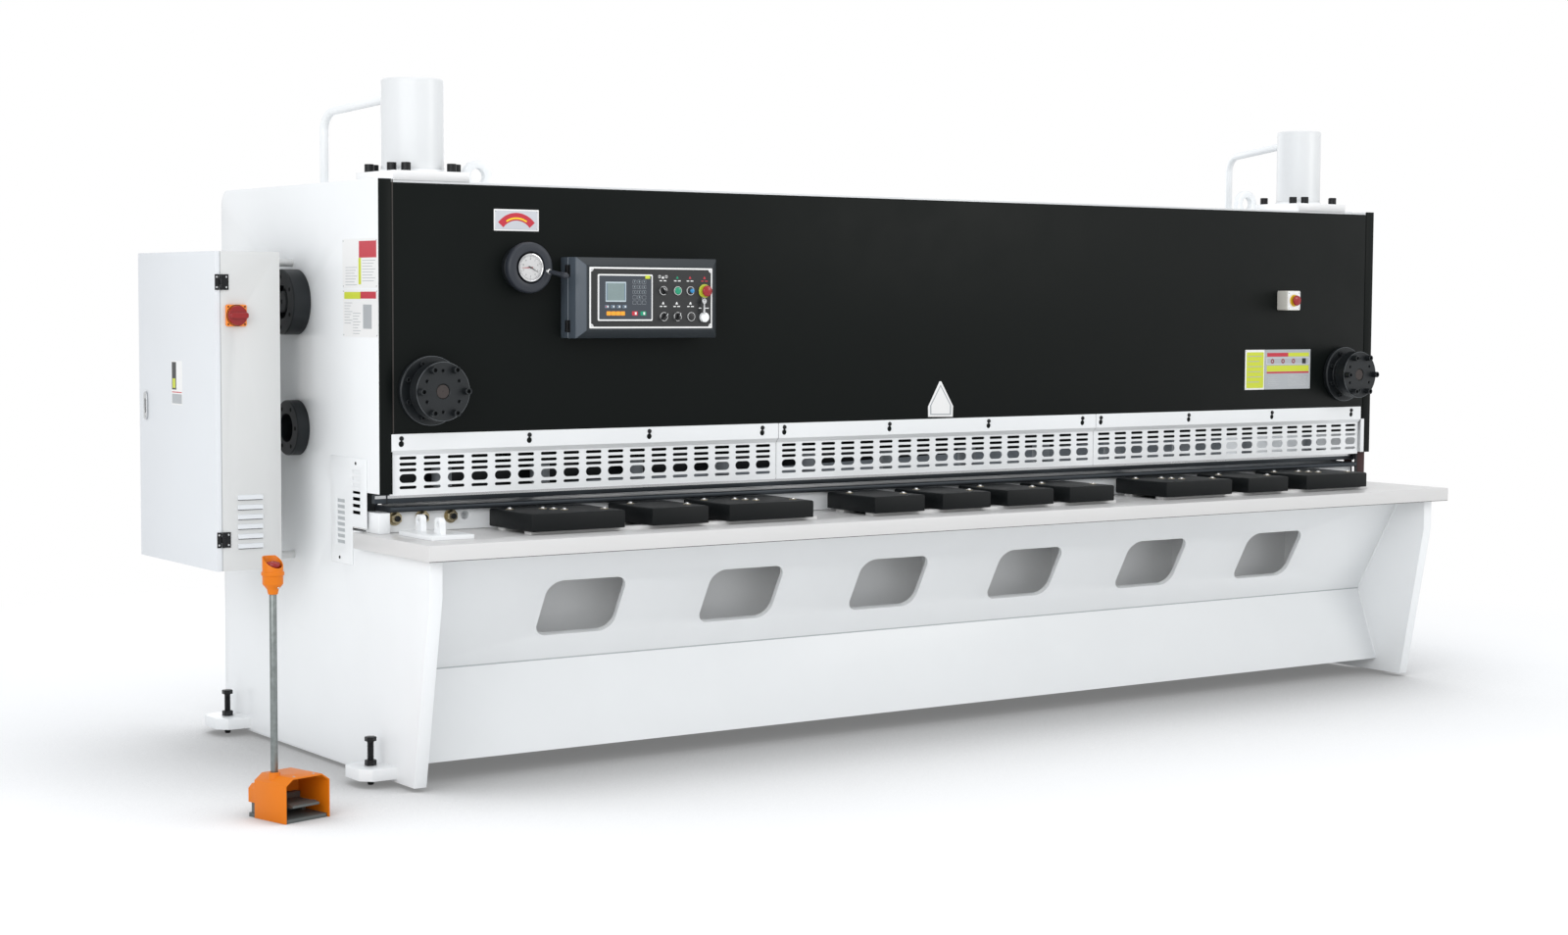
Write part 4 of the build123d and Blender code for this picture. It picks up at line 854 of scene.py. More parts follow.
# %% Side guides
def side_guide(level, side, z, ring, dish, depth, lid, tall):
    """Guide housing on a side plate, `tall` deep; its axis points away from the machine."""
    end, way = ("left", LEFT) if side < 0 else ("right", RIGHT)
    place = facing(way, side * 2084.3, 556, z)
    profile = [(0, -46), (40, -46), (40, 0), (ring - 2, 0), (ring, 2), (ring, tall - 3), (ring - 3, tall),
               (dish + 2, tall), (dish, tall - 2), (dish, tall - depth)]
    if lid:
        profile += [(lid, tall - depth), (lid, tall - 8), (lid - 4, tall - 4), (8, tall - 4), (6, tall - 7)]
    profile.append((0, profile[-1][1]))
    dark_hole = turned([(0, 0), (6.5, 0), (6.5, 0.4), (0, 0.4)], 16, kind=2)
    holes = round_places(place, (ring + dish) / 2, 6, tall - 0.1, pi / 6 if lid else 0)
    gathered(f"roller_guide_{level}_{end}", [(turned(profile, 64), place), (dark_hole, *holes)],
             [phosphated_iron, cast_plug, hole_painted_shade], stands_for=f"side_guide_{level}_{end}")


for side in (-1, 1):
    side_guide("upper", side, z=1384, ring=100, dish=52, depth=20, lid=34, tall=56)
    side_guide("lower", side, z=999, ring=85, dish=44, depth=60, lid=0, tall=40)

# %% [markdown]
# ## Cylinder flanges
# Each cylinder stands on a square flange, held by eight large black screws in pairs at its corners. The
# white paint runs over the weld between tube and flange, which shows as a soft fillet, spun like the rest.

# %% Flange screws and welds
CYLINDER_X, CYLINDER_Y, FLANGE_TOP = 1877, 186, 1771
tall_m19 = cap_screw(19, tall=1.3)
corners = [(u * a, v * b) for u in (-1, 1) for v in (-1, 1) for a, b in ((106, 75), (75, 106))]
for side, end, r in ((-1, "left", 94.0), (1, "right", 82.0)):
    foot = Matrix.Translation((side * CYLINDER_X, CYLINDER_Y, FLANGE_TOP))
    places = [foot @ Matrix.Translation((x, y, 0.2)) for x, y in corners]
    gathered(f"flange_screws_{end}", [(tall_m19, *places)], black_oxide)
    weld = turned([(r - 1, 0), (r + 8, 0), (r + 7, 3), (r + 3, 6), (r - 1, 9)], 64)
    gathered(f"cylinder_weld_{end}", [(weld, foot)], white_powder_coat, slot="white_paint")

# %% [markdown]
# ## Levelling screws
# Four long black screws under the lugs carry the machine. Hexagon heads and lock nuts are forged with
# rounded corners, and the shank is threaded. The thread is drawn as rings of the true depth and pitch: a
# helix would look the same from any distance at which the machine is seen.

# %% Levelling screws with rings of thread
def levelling_screw():
    """Screw from its tip at the floor to its head, standing on its tip."""
    pitch, r, top = 4.0, 10.0, 128.0
    profile = [(0, 0), (7, 0), (8, 1)]
    for i in range(int((top - 2) / pitch)):
        profile += [(8.6, 1.5 + pitch * i), (r, 1.5 + pitch * (i + 0.5))]
    profile += [(8.6, top), (0, top)]
    bm = bmesh.new()
    stamp(bm, turned(profile, 20))
    stamp(bm, hex_head(30, 13), Matrix.Translation((0, 0, top)))
    stamp(bm, hex_head(30, 16), Matrix.Translation((0, 0, 57.3)))
    return kept(bm)


screw = levelling_screw()
for side, end in ((-1, "left"), (1, "right")):
    places = [Matrix.Translation((side * 2130, y, -12)) for y in (-32, 1022)]
    gathered(f"threaded_levelling_screws_{end}", [(screw, *places)], black_oxide,
             stands_for=f"levelling_screws_{end}")

# %% [markdown]
# ## Layers of a printed panel
# A printed panel is foil on sheet metal: a border, a field, keys that stand a little proud. Each is a thin
# sheet laid on the one below, with its own height, so that nothing flickers and every edge catches light.
# A layer is placed by how far out it lies from the drawing's origin, in the direction that it faces.
# The numbers on the keys are made as text and turned into a mesh before they are placed.


# %% Figures
def figure(text, size, kind):
    """Plain figures as a thin mesh, centred on the origin."""
    curve = bpy.data.curves.new("figure", "FONT")
    curve.body, curve.size, curve.extrude = text, size, 0.1
    curve.align_x, curve.align_y, curve.resolution_u = "CENTER", "CENTER", 2
    holder = bpy.data.objects.new("figure", curve)
    mesh = bpy.data.meshes.new_from_object(holder)
    bpy.data.objects.remove(holder)
    for polygon in mesh.polygons:
        polygon.material_index = kind
    return mesh


# %% [markdown]
# ## Control panel
# The front of the control box is an aluminium plate with a white rim, a black field with its corners cut
# round the screws, a controller with a display and foil keys on the left, and eight 22 mm switches on the
# right: selectors, lit buttons, a key switch and a yellow ring for the stop button.

# %% Panel plate and controller
slate_foil = skin("slate_printed_foil", "323942", 0.4, 2.0, 0.01, spread=0.03)
pale_foil = skin("pale_blue_printed_foil", "b8c6cc", 0.35, 2.0, 0.01, spread=0.02)
PANEL_KINDS = [foil_white, foil_black, slate_foil, pale_foil, display_glass, foil_amber, foil_red,
               green_plastic, key_foil_and_seam_highlight, foil_lime, foil_blue]
WHITE, BLACK, SLATE, PALE, GLASS, AMBER, RED, GREEN, KEY, LIME, BLUE = range(11)


def notched(x0, x1, y0, y1, r):
    """Rectangle with a round bite out of each corner."""
    points = []
    for cx, cy, turn in ((x1, y1, 2), (x0, y1, 3), (x0, y0, 0), (x1, y0, 1)):
        arc = [pi / 2 * (turn + i / 6) for i in range(6, -1, -1)]
        points += [(cx + r * cos(a), cy + r * sin(a)) for a in arc]
    return points


bm = bmesh.new()
layers(bm, FRONT, [
    (120, 1.2, 0.2, WHITE, plate_shape(-1447, -1008, 1310, 1494, 2)),
    (121.2, 0.4, 0, BLACK, notched(-1442, -1013, 1315, 1489, 9)),
    (121.4, 2.6, 0.4, WHITE, plate_shape(-1419.5, -1226, 1332.5, 1473, 4)),
    (124.0, 0.3, 0, SLATE, plate_shape(-1415, -1230.5, 1337, 1468.5, 2)),
    (124.2, 0.5, 0, PALE, plate_shape(-1393, -1321, 1390, 1450, 2)),
    (124.6, 0.4, 0, GLASS, bar(-1388.5, -1325.5, 1394, 1446)),
    (124.7, 0.4, 0, BLUE, bar(-1390.5, -1387, 1394, 1446)),
    (124.7, 0.4, 0, BLUE, bar(-1327, -1323.5, 1394, 1446))])
KEY_X, KEY_Z, KEY_PITCH_X, KEY_PITCH_Z = -1291, 1450.5, 17, 15.6
for i in range(15):
    x, z = KEY_X + KEY_PITCH_X * (i % 3), KEY_Z - KEY_PITCH_Z * (i // 3)
    layer(bm, FRONT, 124.2, [plate_shape(x - 6.5, x + 6.5, z - 5.5, z + 5.5, 1.5)], 0.4, 0, KEY)
    layer(bm, FRONT, 124.5, [plate_shape(x - 5.8, x + 5.8, z - 4.8, z + 4.8, 1.2)], 0.3, 0, SLATE)
for i, text in enumerate("789456123.0"):
    x, z = KEY_X + KEY_PITCH_X * (i % 3), KEY_Z - KEY_PITCH_Z * (i // 3)
    stamp(bm, figure(text, 7.5, PALE), laid(FRONT, 124.95, x, z))
for i in range(4):
    x, left = -1388 + 20.6 * i, -1390 + 16.4 * i
    layers(bm, FRONT, [
        (124.2, 0.5, 0, BLUE, plate_shape(x - 7, x + 7, 1371, 1380, 1.2)),
        (124.6, 0.3, 0, WHITE, bar(x + 0.5, x + 4.5, 1373, 1378)),
        (124.6, 0.3, 0, (RED, SLATE)[i > 0], bar(x - 4.5, x - 1.5, 1373.5, 1377.5)),
        (124.2, 0.5, 0, AMBER, plate_shape(left, left + 16, 1348.5, 1361.5, 2.5)),
        (124.6, 0.3, 0, LIME, bar(left + 5, left + 11, 1354, 1356))])
for x0, kind in ((-1300, RED), (-1270, GREEN)):
    layer(bm, FRONT, 124.2, [plate_shape(x0, x0 + 20.5, 1348.5, 1361.5, 2)], 0.5, 0, kind)
    layer(bm, FRONT, 124.6, [bar(x0 + 10, x0 + 16, 1351, 1359)], 0.3, 0, WHITE)
layer(bm, FRONT, 124.2, [bar(-1253, -1236, 1460, 1470)], 0.5, 0, LIME)
piece("control_panel_plate", bm, PANEL_KINDS)

# %% [markdown]
# Each switch is a chromed ring with something in it: a black knob with a white line, or a coloured cap.
# The rings and caps are turned; the knob's grip is a small rounded block. Above each switch stands a simple
# sign of bars.

# %% Switches
SWITCH_KINDS = [chrome, black_plastic, white_plastic, green_plastic, blue_plastic, lime_plastic,
                red_plastic, zinc_screw]
SWITCH_FACE = -121.6
ring = turned([(11, 0), (14.5, 0), (14.5, 3), (13.5, 4.5), (12, 4.5), (11, 3.5)], 32)


def cap(kind, r=11, h=7):
    """Push button cap with a slightly domed face."""
    dome = [(r - 1.5, h), (r * 0.5, h + 0.5), (0, h + 0.7)]
    return turned([(0, 0), (r, 0), (r, h - 1.5)] + dome, 28, kind=kind)


def selector(bm, x, z, turn):
    """Rotary selector: black body, grip and a white line that shows its position."""
    place = facing(FRONT, x, SWITCH_FACE, z, turn)
    stamp(bm, ring, place)
    stamp(bm, turned([(0, 0), (11, 0), (11, 6), (9.5, 8), (0, 8)], 28, kind=1), place)
    grip = bmesh.new()
    block(grip, -4, 4, -11, 11, 7, 17, edge=1.2, kind=1)
    block(grip, -0.8, 0.8, 2, 11.2, 16.2, 17.3, kind=2)
    stamp(bm, tool(grip), place)


bm = bmesh.new()
selector(bm, -1188, 1424.5, 0.7)
selector(bm, -1186, 1345.5, -0.6)
selector(bm, -1136, 1345.5, -0.2)
for x, z, kind in ((-1136, 1424.5, 3), (-1087, 1345.5, 1), (-1090, 1424.5, 1)):
    stamp(bm, ring, facing(FRONT, x, SWITCH_FACE, z))
    stamp(bm, cap(kind), facing(FRONT, x, SWITCH_FACE, z))
stamp(bm, cap(2, 15, 11), facing(FRONT, -1040, SWITCH_FACE, 1343.5))
stamp(bm, cap(4, 6.5, 15), facing(FRONT, -1088, SWITCH_FACE, 1424.5))
stop_ring = turned([(9, 0), (21, 0), (21, 3), (19.5, 4.5), (9, 4.5)], 40, kind=5)
stamp(bm, stop_ring, facing(FRONT, -1037, SWITCH_FACE, 1424))
plate_screw = turned([(0, 0), (2.6, 0), (2.6, 0.8), (1.4, 1.6), (0, 1.8)], 14, kind=7)
stamp(bm, plate_screw, *[facing(FRONT, x, -121.2, z) for x in (-1439, -1016) for z in (1318, 1486)])
piece("control_switches", bm, SWITCH_KINDS)

bm = bmesh.new()
for x, z, kind in ((-1188, 1461, WHITE), (-1136, 1461, GREEN), (-1090, 1461, RED), (-1037, 1461, RED),
                   (-1187, 1383, WHITE), (-1138, 1383, WHITE), (-1088, 1383, WHITE)):
    arrow = [(x - 4.5, z), (x + 4.5, z), (x + 2.5, z + 5), (x, z + 8), (x - 2.5, z + 5)]
    line_kind = RED if x == -1037 else WHITE
    layers(bm, FRONT, [
        (121.5, 0.3, 0, line_kind, bar(x - 12, x - 3, z - 8, z - 5), bar(x + 2, x + 12, z - 8, z - 5)),
        (121.5, 0.3, 0, kind, arrow)])
layers(bm, FRONT, [
    (121.5, 0.3, 0, WHITE, bar(x - 4, x + 4, 1463, 1471), bar(x - 2.6, x + 2.6, 1464.4, 1469.6)[::-1])
    for x in (-1200, -1176)])
layer(bm, FRONT, 121.5, [bar(-1057, -1048, 1370, 1373), bar(-1035, -1021, 1370, 1373)], 0.3, 0, WHITE)
piece("control_panel_signs", bm, PANEL_KINDS)

# %% [markdown]
# Two keys hang on a ring just under the stop button. A key is a flat blank: a round bow with a hole and a
# narrow blade, cut from one sheet. The ring is a small circle spun round; it ends below the stop button, so
# that the button can be pressed.

# %% Hanging keys
KEYS_X, RING_Y, RING_Z, RING_R = -1046, -132, 1398.5, 6
bow = [(8 * sin(radians(d)), 8 * cos(radians(d))) for d in range(-150, 151, 25)]
blade = [(2.2, -9), (2.2, -38), (0, -40), (-2.2, -38), (-2.2, -9)]
key = cut_sheet([bow + blade, disc(0, 3.5, 2.2, 12)[::-1]], 1.8, 0.3)
bm = bmesh.new()
for turn, y in ((0.06, -133.2), (-0.08, -135.4)):
    stamp(bm, key, facing(FRONT, KEYS_X, y, 1393, turn))
wire = Matrix.Translation((KEYS_X, RING_Y, RING_Z + RING_R)) @ Matrix.Rotation(pi / 2, 4, "Y")
bmesh.ops.create_circle(bm, segments=8, radius=0.8, matrix=wire)
loose = [v for v in bm.verts if not v.link_faces] + [e for e in bm.edges if not e.link_faces]
bmesh.ops.spin(bm, geom=loose, cent=(KEYS_X, RING_Y, RING_Z), axis=(0, 1, 0), angle=2 * pi, steps=24,
               use_merge=True)
piece("hanging_keys", bm, zinc_screw)

# %% [markdown]
# ## Cover of the control box
# The front half of the box is a door: a seam runs round its sides and two black hinges hold it on the left.
# The seam is drawn as a thin strip let into the side, which stands out by about half a millimetre; its light
# grey, that of the keys, is a painted highlight along the seam. A hinge is two leaves with a pin between
# them and two screws in each leaf.

# %% Seam and hinges of the control box
SEAM = (-55.8, -54.2)
boxes("control_box_seam", [
    (-1483.2, -1482.3, *SEAM, 1281, 1522), (-979.2, -978.4, *SEAM, 1281, 1522),
    (-1481, -980, *SEAM, 1522.4, 1523.3), (-1481, -980, *SEAM, 1279.7, 1280.6)], key_foil_and_seam_highlight)
bm = bmesh.new()
leaf_screw = turned([(0, 0), (2.6, 0), (2, 1.2), (0, 1.4)], 12)
for z in (1482, 1316):
    for y in (-47, -63):
        block(bm, -1486, -1482, y - 5.5, y + 5.5, z - 18, z + 18, edge=1)
        stamp(bm, leaf_screw, facing(LEFT, -1486, y, z - 12), facing(LEFT, -1486, y, z + 12))
    stamp(bm, turned([(0, -17), (3, -17), (3, 17), (0, 17)], 16), Matrix.Translation((-1485, -55, z)))
piece("control_box_hinges", bm, black_oxide)

# %% [markdown]
# ## Gap adjuster
# The blade gap is set with a black phenolic handwheel whose middle is a round gauge in a chromed rim. The
# wheel has a rounded rim, a dish, and a turned handle with a chromed ferrule. The gauge has a white enamel
# face with ticks and plain numbers, a red and a black pointer, and a glass, which is a thin clear disc,
# slightly domed. The wheel turns with its own body; the gauge stays with the frame.

# %% Boss and gauge
enamel = skin("white_enamel_dial", "fafafa", 0.2, 12.0, 0.003, spread=0.01)
gauge_glass, tree, out = new_material("gauge_glass")
clear = add(tree, "ShaderNodeBsdfTransparent", {"Color": (1, 1, 1, 1)})
gleam = add(tree, "ShaderNodeBsdfGlossy", {"Roughness": 0.03, "Color": (1, 1, 1, 1)})
rim_light = add(tree, "ShaderNodeFresnel", {"IOR": 1.45})
mixed = add(tree, "ShaderNodeMixShader", {0: rim_light.outputs[0], 1: clear.outputs[0], 2: gleam.outputs[0]})
tree.links.new(mixed.outputs[0], out.inputs["Surface"])

DIAL_AT = (-1620, PANEL_FACE, 1490)
DIAL = facing(FRONT, *DIAL_AT)
boss = turned([(0, 0), (64, 0), (66, 2), (66, 20), (64, 22), (61, 27), (58, 28), (11, 28), (11, 55),
               (0, 55)], 64)
gathered("gap_boss", [(boss, DIAL)], phosphated_iron, slot="black_plastic")

housing = turned([(0, 54.2), (41.5, 54.2), (43, 55.5), (43, 62), (41.5, 64.5), (39.5, 65), (38, 64.2),
                  (37.6, 60), (0, 60)], 64)
face = turned([(0, 60.1), (37.4, 60.1), (37.4, 60.6), (0, 60.6)], 48, kind=1)
bm = bmesh.new()
stamp(bm, housing, DIAL)
stamp(bm, face, DIAL)
for i in range(50):
    long = 5 if i % 5 == 0 else 2.6
    tick = cut_sheet([bar(-0.35, 0.35, 35.6 - long, 35.6)], 0.3, kind=2)
    stamp(bm, tick, facing(FRONT, *DIAL_AT, 2 * pi * i / 50) @ Matrix.Translation((0, 0, 60.6)))
for i in range(10):
    a = 2 * pi * i / 10
    stamp(bm, figure(str(i), 7, 2), DIAL @ Matrix.Translation((25.5 * sin(a), 25.5 * cos(a), 60.75)))
hand = [(-2, -8), (2, -8), (0.5, 29), (-0.5, 29)]
for kind, degrees, lift in ((3, 92, 61.2), (2, -118, 62)):
    stamp(bm, cut_sheet([hand], 0.6, kind=kind),
          facing(FRONT, *DIAL_AT, radians(degrees)) @ Matrix.Translation((0, 0, lift)))
stamp(bm, turned([(0, 61), (3, 61), (3, 63), (0, 63.4)], 16, kind=2), DIAL)
piece("gap_gauge", bm, [chrome, enamel, foil_black, foil_red], stands_for="gap_dial")
glass = turned([(0, 64.3), (20, 64.1), (37.8, 63.6), (37.8, 63.3), (0, 63.3)], 48)
gathered("gauge_glass_disc", [(glass, DIAL)], gauge_glass)

# %% [markdown]
# The wheel is spun from the section of its rim and dish. Its handle leans out of the rim towards the
# operator's right hand: a turned grip, swollen at its end, with a chromed ferrule at its foot.

# %% Handwheel
wheel_phenolic = skin("slate_phenolic", "2b2f36", 0.4, 5.0, 0.04, spread=0.04, gloss=0.35)
wheel = turned([(11.5, 34), (66, 34), (71, 35.5), (74.5, 39), (76, 44), (76, 56), (74.5, 61), (71, 64.5),
                (66, 66), (52, 66), (48.5, 64.5), (47, 61), (46.2, 48), (11.5, 48), (11.5, 34)], 72)
handle = turned([(0, -4), (5, -4), (5, 9), (6, 12), (6.6, 30), (7, 50), (9, 62), (10.2, 70), (10, 77),
                 (7.5, 83), (3.5, 86.5), (0, 87)], 28)
ferrule = turned([(5, 1), (8.2, 1), (8.2, 8), (6.8, 10), (5, 10)], 28, kind=1)
leaning = Vector((22, -83, -16)).to_track_quat("Z", "Y").to_matrix().to_4x4()
foot = Matrix.Translation((-1563, -74, 1480)) @ leaning
gathered("gap_handwheel_rim", [(wheel, facing(FRONT, -1620, -10, 1490)), (handle, foot), (ferrule, foot)],
         [wheel_phenolic, chrome], body="handwheel", stands_for="gap_handwheel")

# %% [markdown]
# ## Stop buttons
# A stop button is a mushroom of polished red plastic: a domed head that overhangs its neck far enough to be
# pressed without touching the yellow ring under it. The one on the right of the panel sits in its own light
# grey box with a white face and four screws.

# %% Mushrooms and the stop box
def mushroom(r, height):
    """Head and neck, standing on the face of the switch."""
    return turned([(0, -19.5), (7.9, -19.5), (7.9, 13), (r - 3, 13), (r - 0.8, 13.4), (r, 14.4), (r, height),
                   (r - 0.8, height + 2), (r - 3.5, height + 3.9), (r - 5, height + 4.1),
                   (r * 0.45, height + 5.4), (0, height + 5.9)], 44)


for name, node, body, x, y, z, r in (
        ("panel_stop_head", "control_stop_button", "control_stop", -1035, -120, 1424, 17),
        ("wall_stop_head", "stop_box_button", "panel_stop", 1605, -62.3, 1405, 19)):
    gathered(name, [(mushroom(r, 16), facing(FRONT, x, y, z))], red_plastic, body=body, stands_for=node)

softened("stop_box", 1.5, light_plastic)
STOP_X, STOP_Z = 1605, 1405
bm = bmesh.new()
face_shape = [plate_shape(1573.5, 1636.5, 1371.5, 1438.5, 5), disc(STOP_X, STOP_Z, 15, 32)[::-1]]
layer(bm, FRONT, 62.3, face_shape, 1.2, 0.3)
stop_ring = turned([(9, 0), (22, 0), (22, 1.5), (20, 3.2), (9, 3.2)], 44, kind=1)
stamp(bm, stop_ring, facing(FRONT, STOP_X, -63.4, STOP_Z))
face_screw = turned([(0, 0), (2.8, 0), (2.2, 1.2), (0, 1.5)], 14, kind=2)
stamp(bm, face_screw, *[facing(FRONT, x, -63.4, z) for x in (1579, 1631) for z in (1377.5, 1432.5)])
piece("stop_box_face", bm, [white_plastic, yellow_plastic, zinc_screw])

# %% [markdown]
# ## Plates
# Metal plates with printed fields are screwed to the panel and to the left side: blocks of colour, rules
# and small screws in the corners, each a thin layer. The scale above the handwheel is a red arc with a
# yellow one inside it, the simplest picture of a gap that opens.

# %% Plates on the panel
PLATE_KINDS = [foil_white, foil_red, foil_yellow, foil_lime, foil_grey, zinc_screw, foil_black, foil_silver,
               foil_maroon]
PAPER, CRIMSON, YELLOW, ACID, GREY, SCREW, INK, SILVER, MAROON = range(9)


def arc_band(cx, cy, r0, r1, a0, a1):
    """Points of a band between two radii and two angles in degrees."""
    angles = [radians(a0 + (a1 - a0) * i / 18) for i in range(19)]
    return [(cx + r1 * cos(a), cy + r1 * sin(a)) for a in angles] + [
        (cx + r0 * cos(a), cy + r0 * sin(a)) for a in reversed(angles)]


def corner_screws(bm, way, out_by, x0, x1, y0, y1, r=2.2):
    """Small screws in the corners of a plate."""
    head = turned([(0, 0), (r, 0), (r * 0.8, r * 0.45), (0, r * 0.6)], 12, kind=SCREW)
    stamp(bm, head, *[laid(way, out_by, x, y) for x in (x0, x1) for y in (y0, y1)])


bm = bmesh.new()
layers(bm, FRONT, [
    (10, 1.0, 0.2, PAPER, plate_shape(-1710, -1558, 1599, 1663, 2)),
    (11, 0.2, 0, SILVER, bar(-1706, -1562, 1603, 1659)),
    (11.2, 0.3, 0, CRIMSON, arc_band(-1634, 1571.8, 58, 81, 40, 140)),
    (11.5, 0.3, 0, YELLOW, arc_band(-1634, 1571.8, 62.5, 67.5, 58, 122))])
corner_screws(bm, FRONT, 11, -1704, -1564, 1605, 1657)
piece("gap_scale_plate", bm, PLATE_KINDS)

bm = bmesh.new()
layers(bm, FRONT, [
    (10, 0.8, 0, PAPER, bar(1411, 1511, 1076, 1223)),
    (10, 0.8, 0, GREY, bar(1513, 1752, 1076, 1223)),
    (10.8, 0.3, 0, ACID, plate_shape(1418, 1506, 1082, 1214, 4)),
    (10.8, 0.3, 0, CRIMSON, bar(1524, 1634, 1197, 1211)),
    (10.8, 0.3, 0, ACID, bar(1634, 1744, 1197, 1211)),
    (10.8, 0.3, 0, ACID, bar(1523, 1744, 1142, 1164)),
    (10.8, 0.3, 0, CRIMSON, bar(1523, 1744, 1135, 1141))])
layers(bm, FRONT, [(10.8, 0.3, 0, MAROON, disc(x, 1180, 9, 16), disc(x, 1180, 4, 12)[::-1])
                   for x in (1552, 1607, 1662)])
layers(bm, FRONT, [
    (10.8, 0.3, 0, INK, bar(1708, 1728, 1170, 1190)),
    (10.9, 0.2, 0, SILVER, bar(1520, 1748, 1168, 1194), bar(1524, 1744, 1171, 1191)[::-1])])
for row in range(6):
    x1, z = 1424 + (72, 60, 74, 66)[row % 4], 1198 - 19 * row
    layer(bm, FRONT, 11.1, [bar(1424, x1, z, z + 2.5)], 0.2, 0, GREY)
    for x0, x1 in ((1530, 1584), (1632, 1738)):
        layer(bm, FRONT, 10.8, [bar(x0, x1, 1124 - 7 * row, 1125.6 - 7 * row)], 0.2, 0, SCREW)
corner_screws(bm, FRONT, 10.8, 1416, 1747, 1081, 1218, r=2)
piece("panel_field_plates", bm, PLATE_KINDS)

house = [(-68, 1010), (37, 1008), (38, 1044), (-14, 1128), (-21, 1128), (-69, 1044)]
outer = [(-60, 1016), (29, 1014.5), (30, 1046), (-16.5, 1117), (-61, 1046)]
inner = [(-16 + (x + 16) * 0.88, 1055 + (z - 1055) * 0.9) for x, z in outer][::-1]
layered("panel_house_plate", FRONT, [(10, 0.8, 0, PAPER, house), (10.8, 0.3, 0, GREY, outer, inner)],
        PLATE_KINDS)

# %% [markdown]
# The left side plate carries two plates, one above the other, each with a red and a yellow-green field and
# rows of thin grey lines. The lower one also has a grey square.

# %% Plates on the left side
SIDE_FACE, PRINT = 2084, 2084.8
bm = bmesh.new()
layers(bm, LEFT, [
    (SIDE_FACE, 0.8, 0, PAPER, plate_shape(-232.7, 0.9, 1426.6, 1570.8, 3)),
    (PRINT, 0.3, 0, CRIMSON, bar(-121, -6, 1515, 1563.5)),
    (PRINT, 0.3, 0, ACID, bar(-124.4, -107.4, 1437, 1514.4)),
    (SIDE_FACE, 0.8, 0, PAPER, plate_shape(-230.8, 2.4, 1283.7, 1422, 3)),
    (PRINT, 0.3, 0, ACID, bar(-221.7, -112, 1394.7, 1415)),
    (PRINT, 0.3, 0, CRIMSON, bar(-112, -8.9, 1395.7, 1416)),
    (PRINT, 0.3, 0, GREY, bar(-95, -38.4, 1308, 1378.6))])
for row in range(8):
    for x0, x1, first, last in ((-213, -134, 1486, 1434), (-100, -14, 1506, 1434), (-221, -168, 1382, 1291),
                                (-163, -112, 1352, 1291)):
        z = first - 8.5 * row
        if z > last:
            layer(bm, LEFT, PRINT, [bar(x0, x1 - 9 * (row % 3), z, z + 1.6)], 0.2, 0, GREY)
corner_screws(bm, LEFT, PRINT, -227, -5, 1432, 1565)
corner_screws(bm, LEFT, PRINT, -225, -3.5, 1289, 1417)
piece("side_plates_left", bm, PLATE_KINDS)

# %% [markdown]
# ## Cabinet
# The electrical cabinet is folded sheet: a shell with a door on its left side. Black surface hinges with
# zinc-plated screws sit on the front edge. Their leaves belong to the CAD solids, so those faces of the
# rounded copies get the hinge's finish. The door closes on a grey foam seal, which shows in the gap, and has
# a latch with a black lever and a small label.

# %% Shell and door with their hinges
HINGE_Y, DOOR_FACE = 384.9, 2422
# The shell gets a darker copy of the door's paint as painted shade; both have the same coat.
shell = softened("cabinet_shell", 1.2, [shell_painted_shade_paint, black_oxide])
door = softened("cabinet_door", 1.2, [cabinet_texture_paint, black_oxide], body="door")
for part in (shell, door):
    recolour(part, 1, lambda x, y, z: y < HINGE_Y)

hinge_screw = pan_screw(3.2, 1.8)
for name, body, x in (("hinge_screws_shell", "frame", -2387), ("hinge_screws_door", "door", -2416.5)):
    places = [facing(FRONT, x, 382, z + dz) for z in (680.5, 1442) for dz in (-15, 15)]
    gathered(name, [(hinge_screw, *places)], zinc_screw, body=body)

# %% Seal, latch and label of the door
layered("door_gasket", LEFT, [
    (2403.8, 2.6, 0, 0, bar(-998, -386, 588, 1532), bar(-990, -394, 596, 1524)[::-1])], seal_foam)

bm = bmesh.new()
frame_shape = [plate_shape(-952, -926, 1015, 1103, 13, 8), plate_shape(-944, -934, 1036, 1082, 5)[::-1]]
layer(bm, LEFT, DOOR_FACE, frame_shape, 6, 1.2)
stamp(bm, pan_screw(3.2, 1.4), *[facing(LEFT, -2427.8, 939, z) for z in (1026, 1092)])
piece("door_latch", bm, zinc_screw, body="door")
layered("door_latch_lever", LEFT, [(DOOR_FACE, 1.5, 0.3, 0, bar(-944, -934, 1036, 1082))], black_plastic,
        body="door")
layered("door_label", LEFT, [
    (DOOR_FACE, 0.3, 0, PAPER, bar(-730, -644, 1070, 1204)),
    (2422.3, 0.2, 0, INK, bar(-726, -692, 1116, 1200)),
    (2422.3, 0.4, 0, ACID, bar(-720, -698, 1121, 1150)),
    (2422.3, 0.2, 0, CRIMSON, bar(-726, -648, 1107, 1110)),
    (2422.3, 0.2, 0, GREY, bar(-726, -648, 1074, 1103))], PLATE_KINDS, body="door")

# %% [markdown]
# Each louvre is a slit whose upper lip is pressed out into a hood. Its section is cut as a small sheet and
# made as thick as the louvre is wide, which gives rounded ends for free. Dark strips in the slits under the
# hoods are painted shade. The main switch is a red knob on an orange plate with four screws and a dark ring
# printed round the knob.

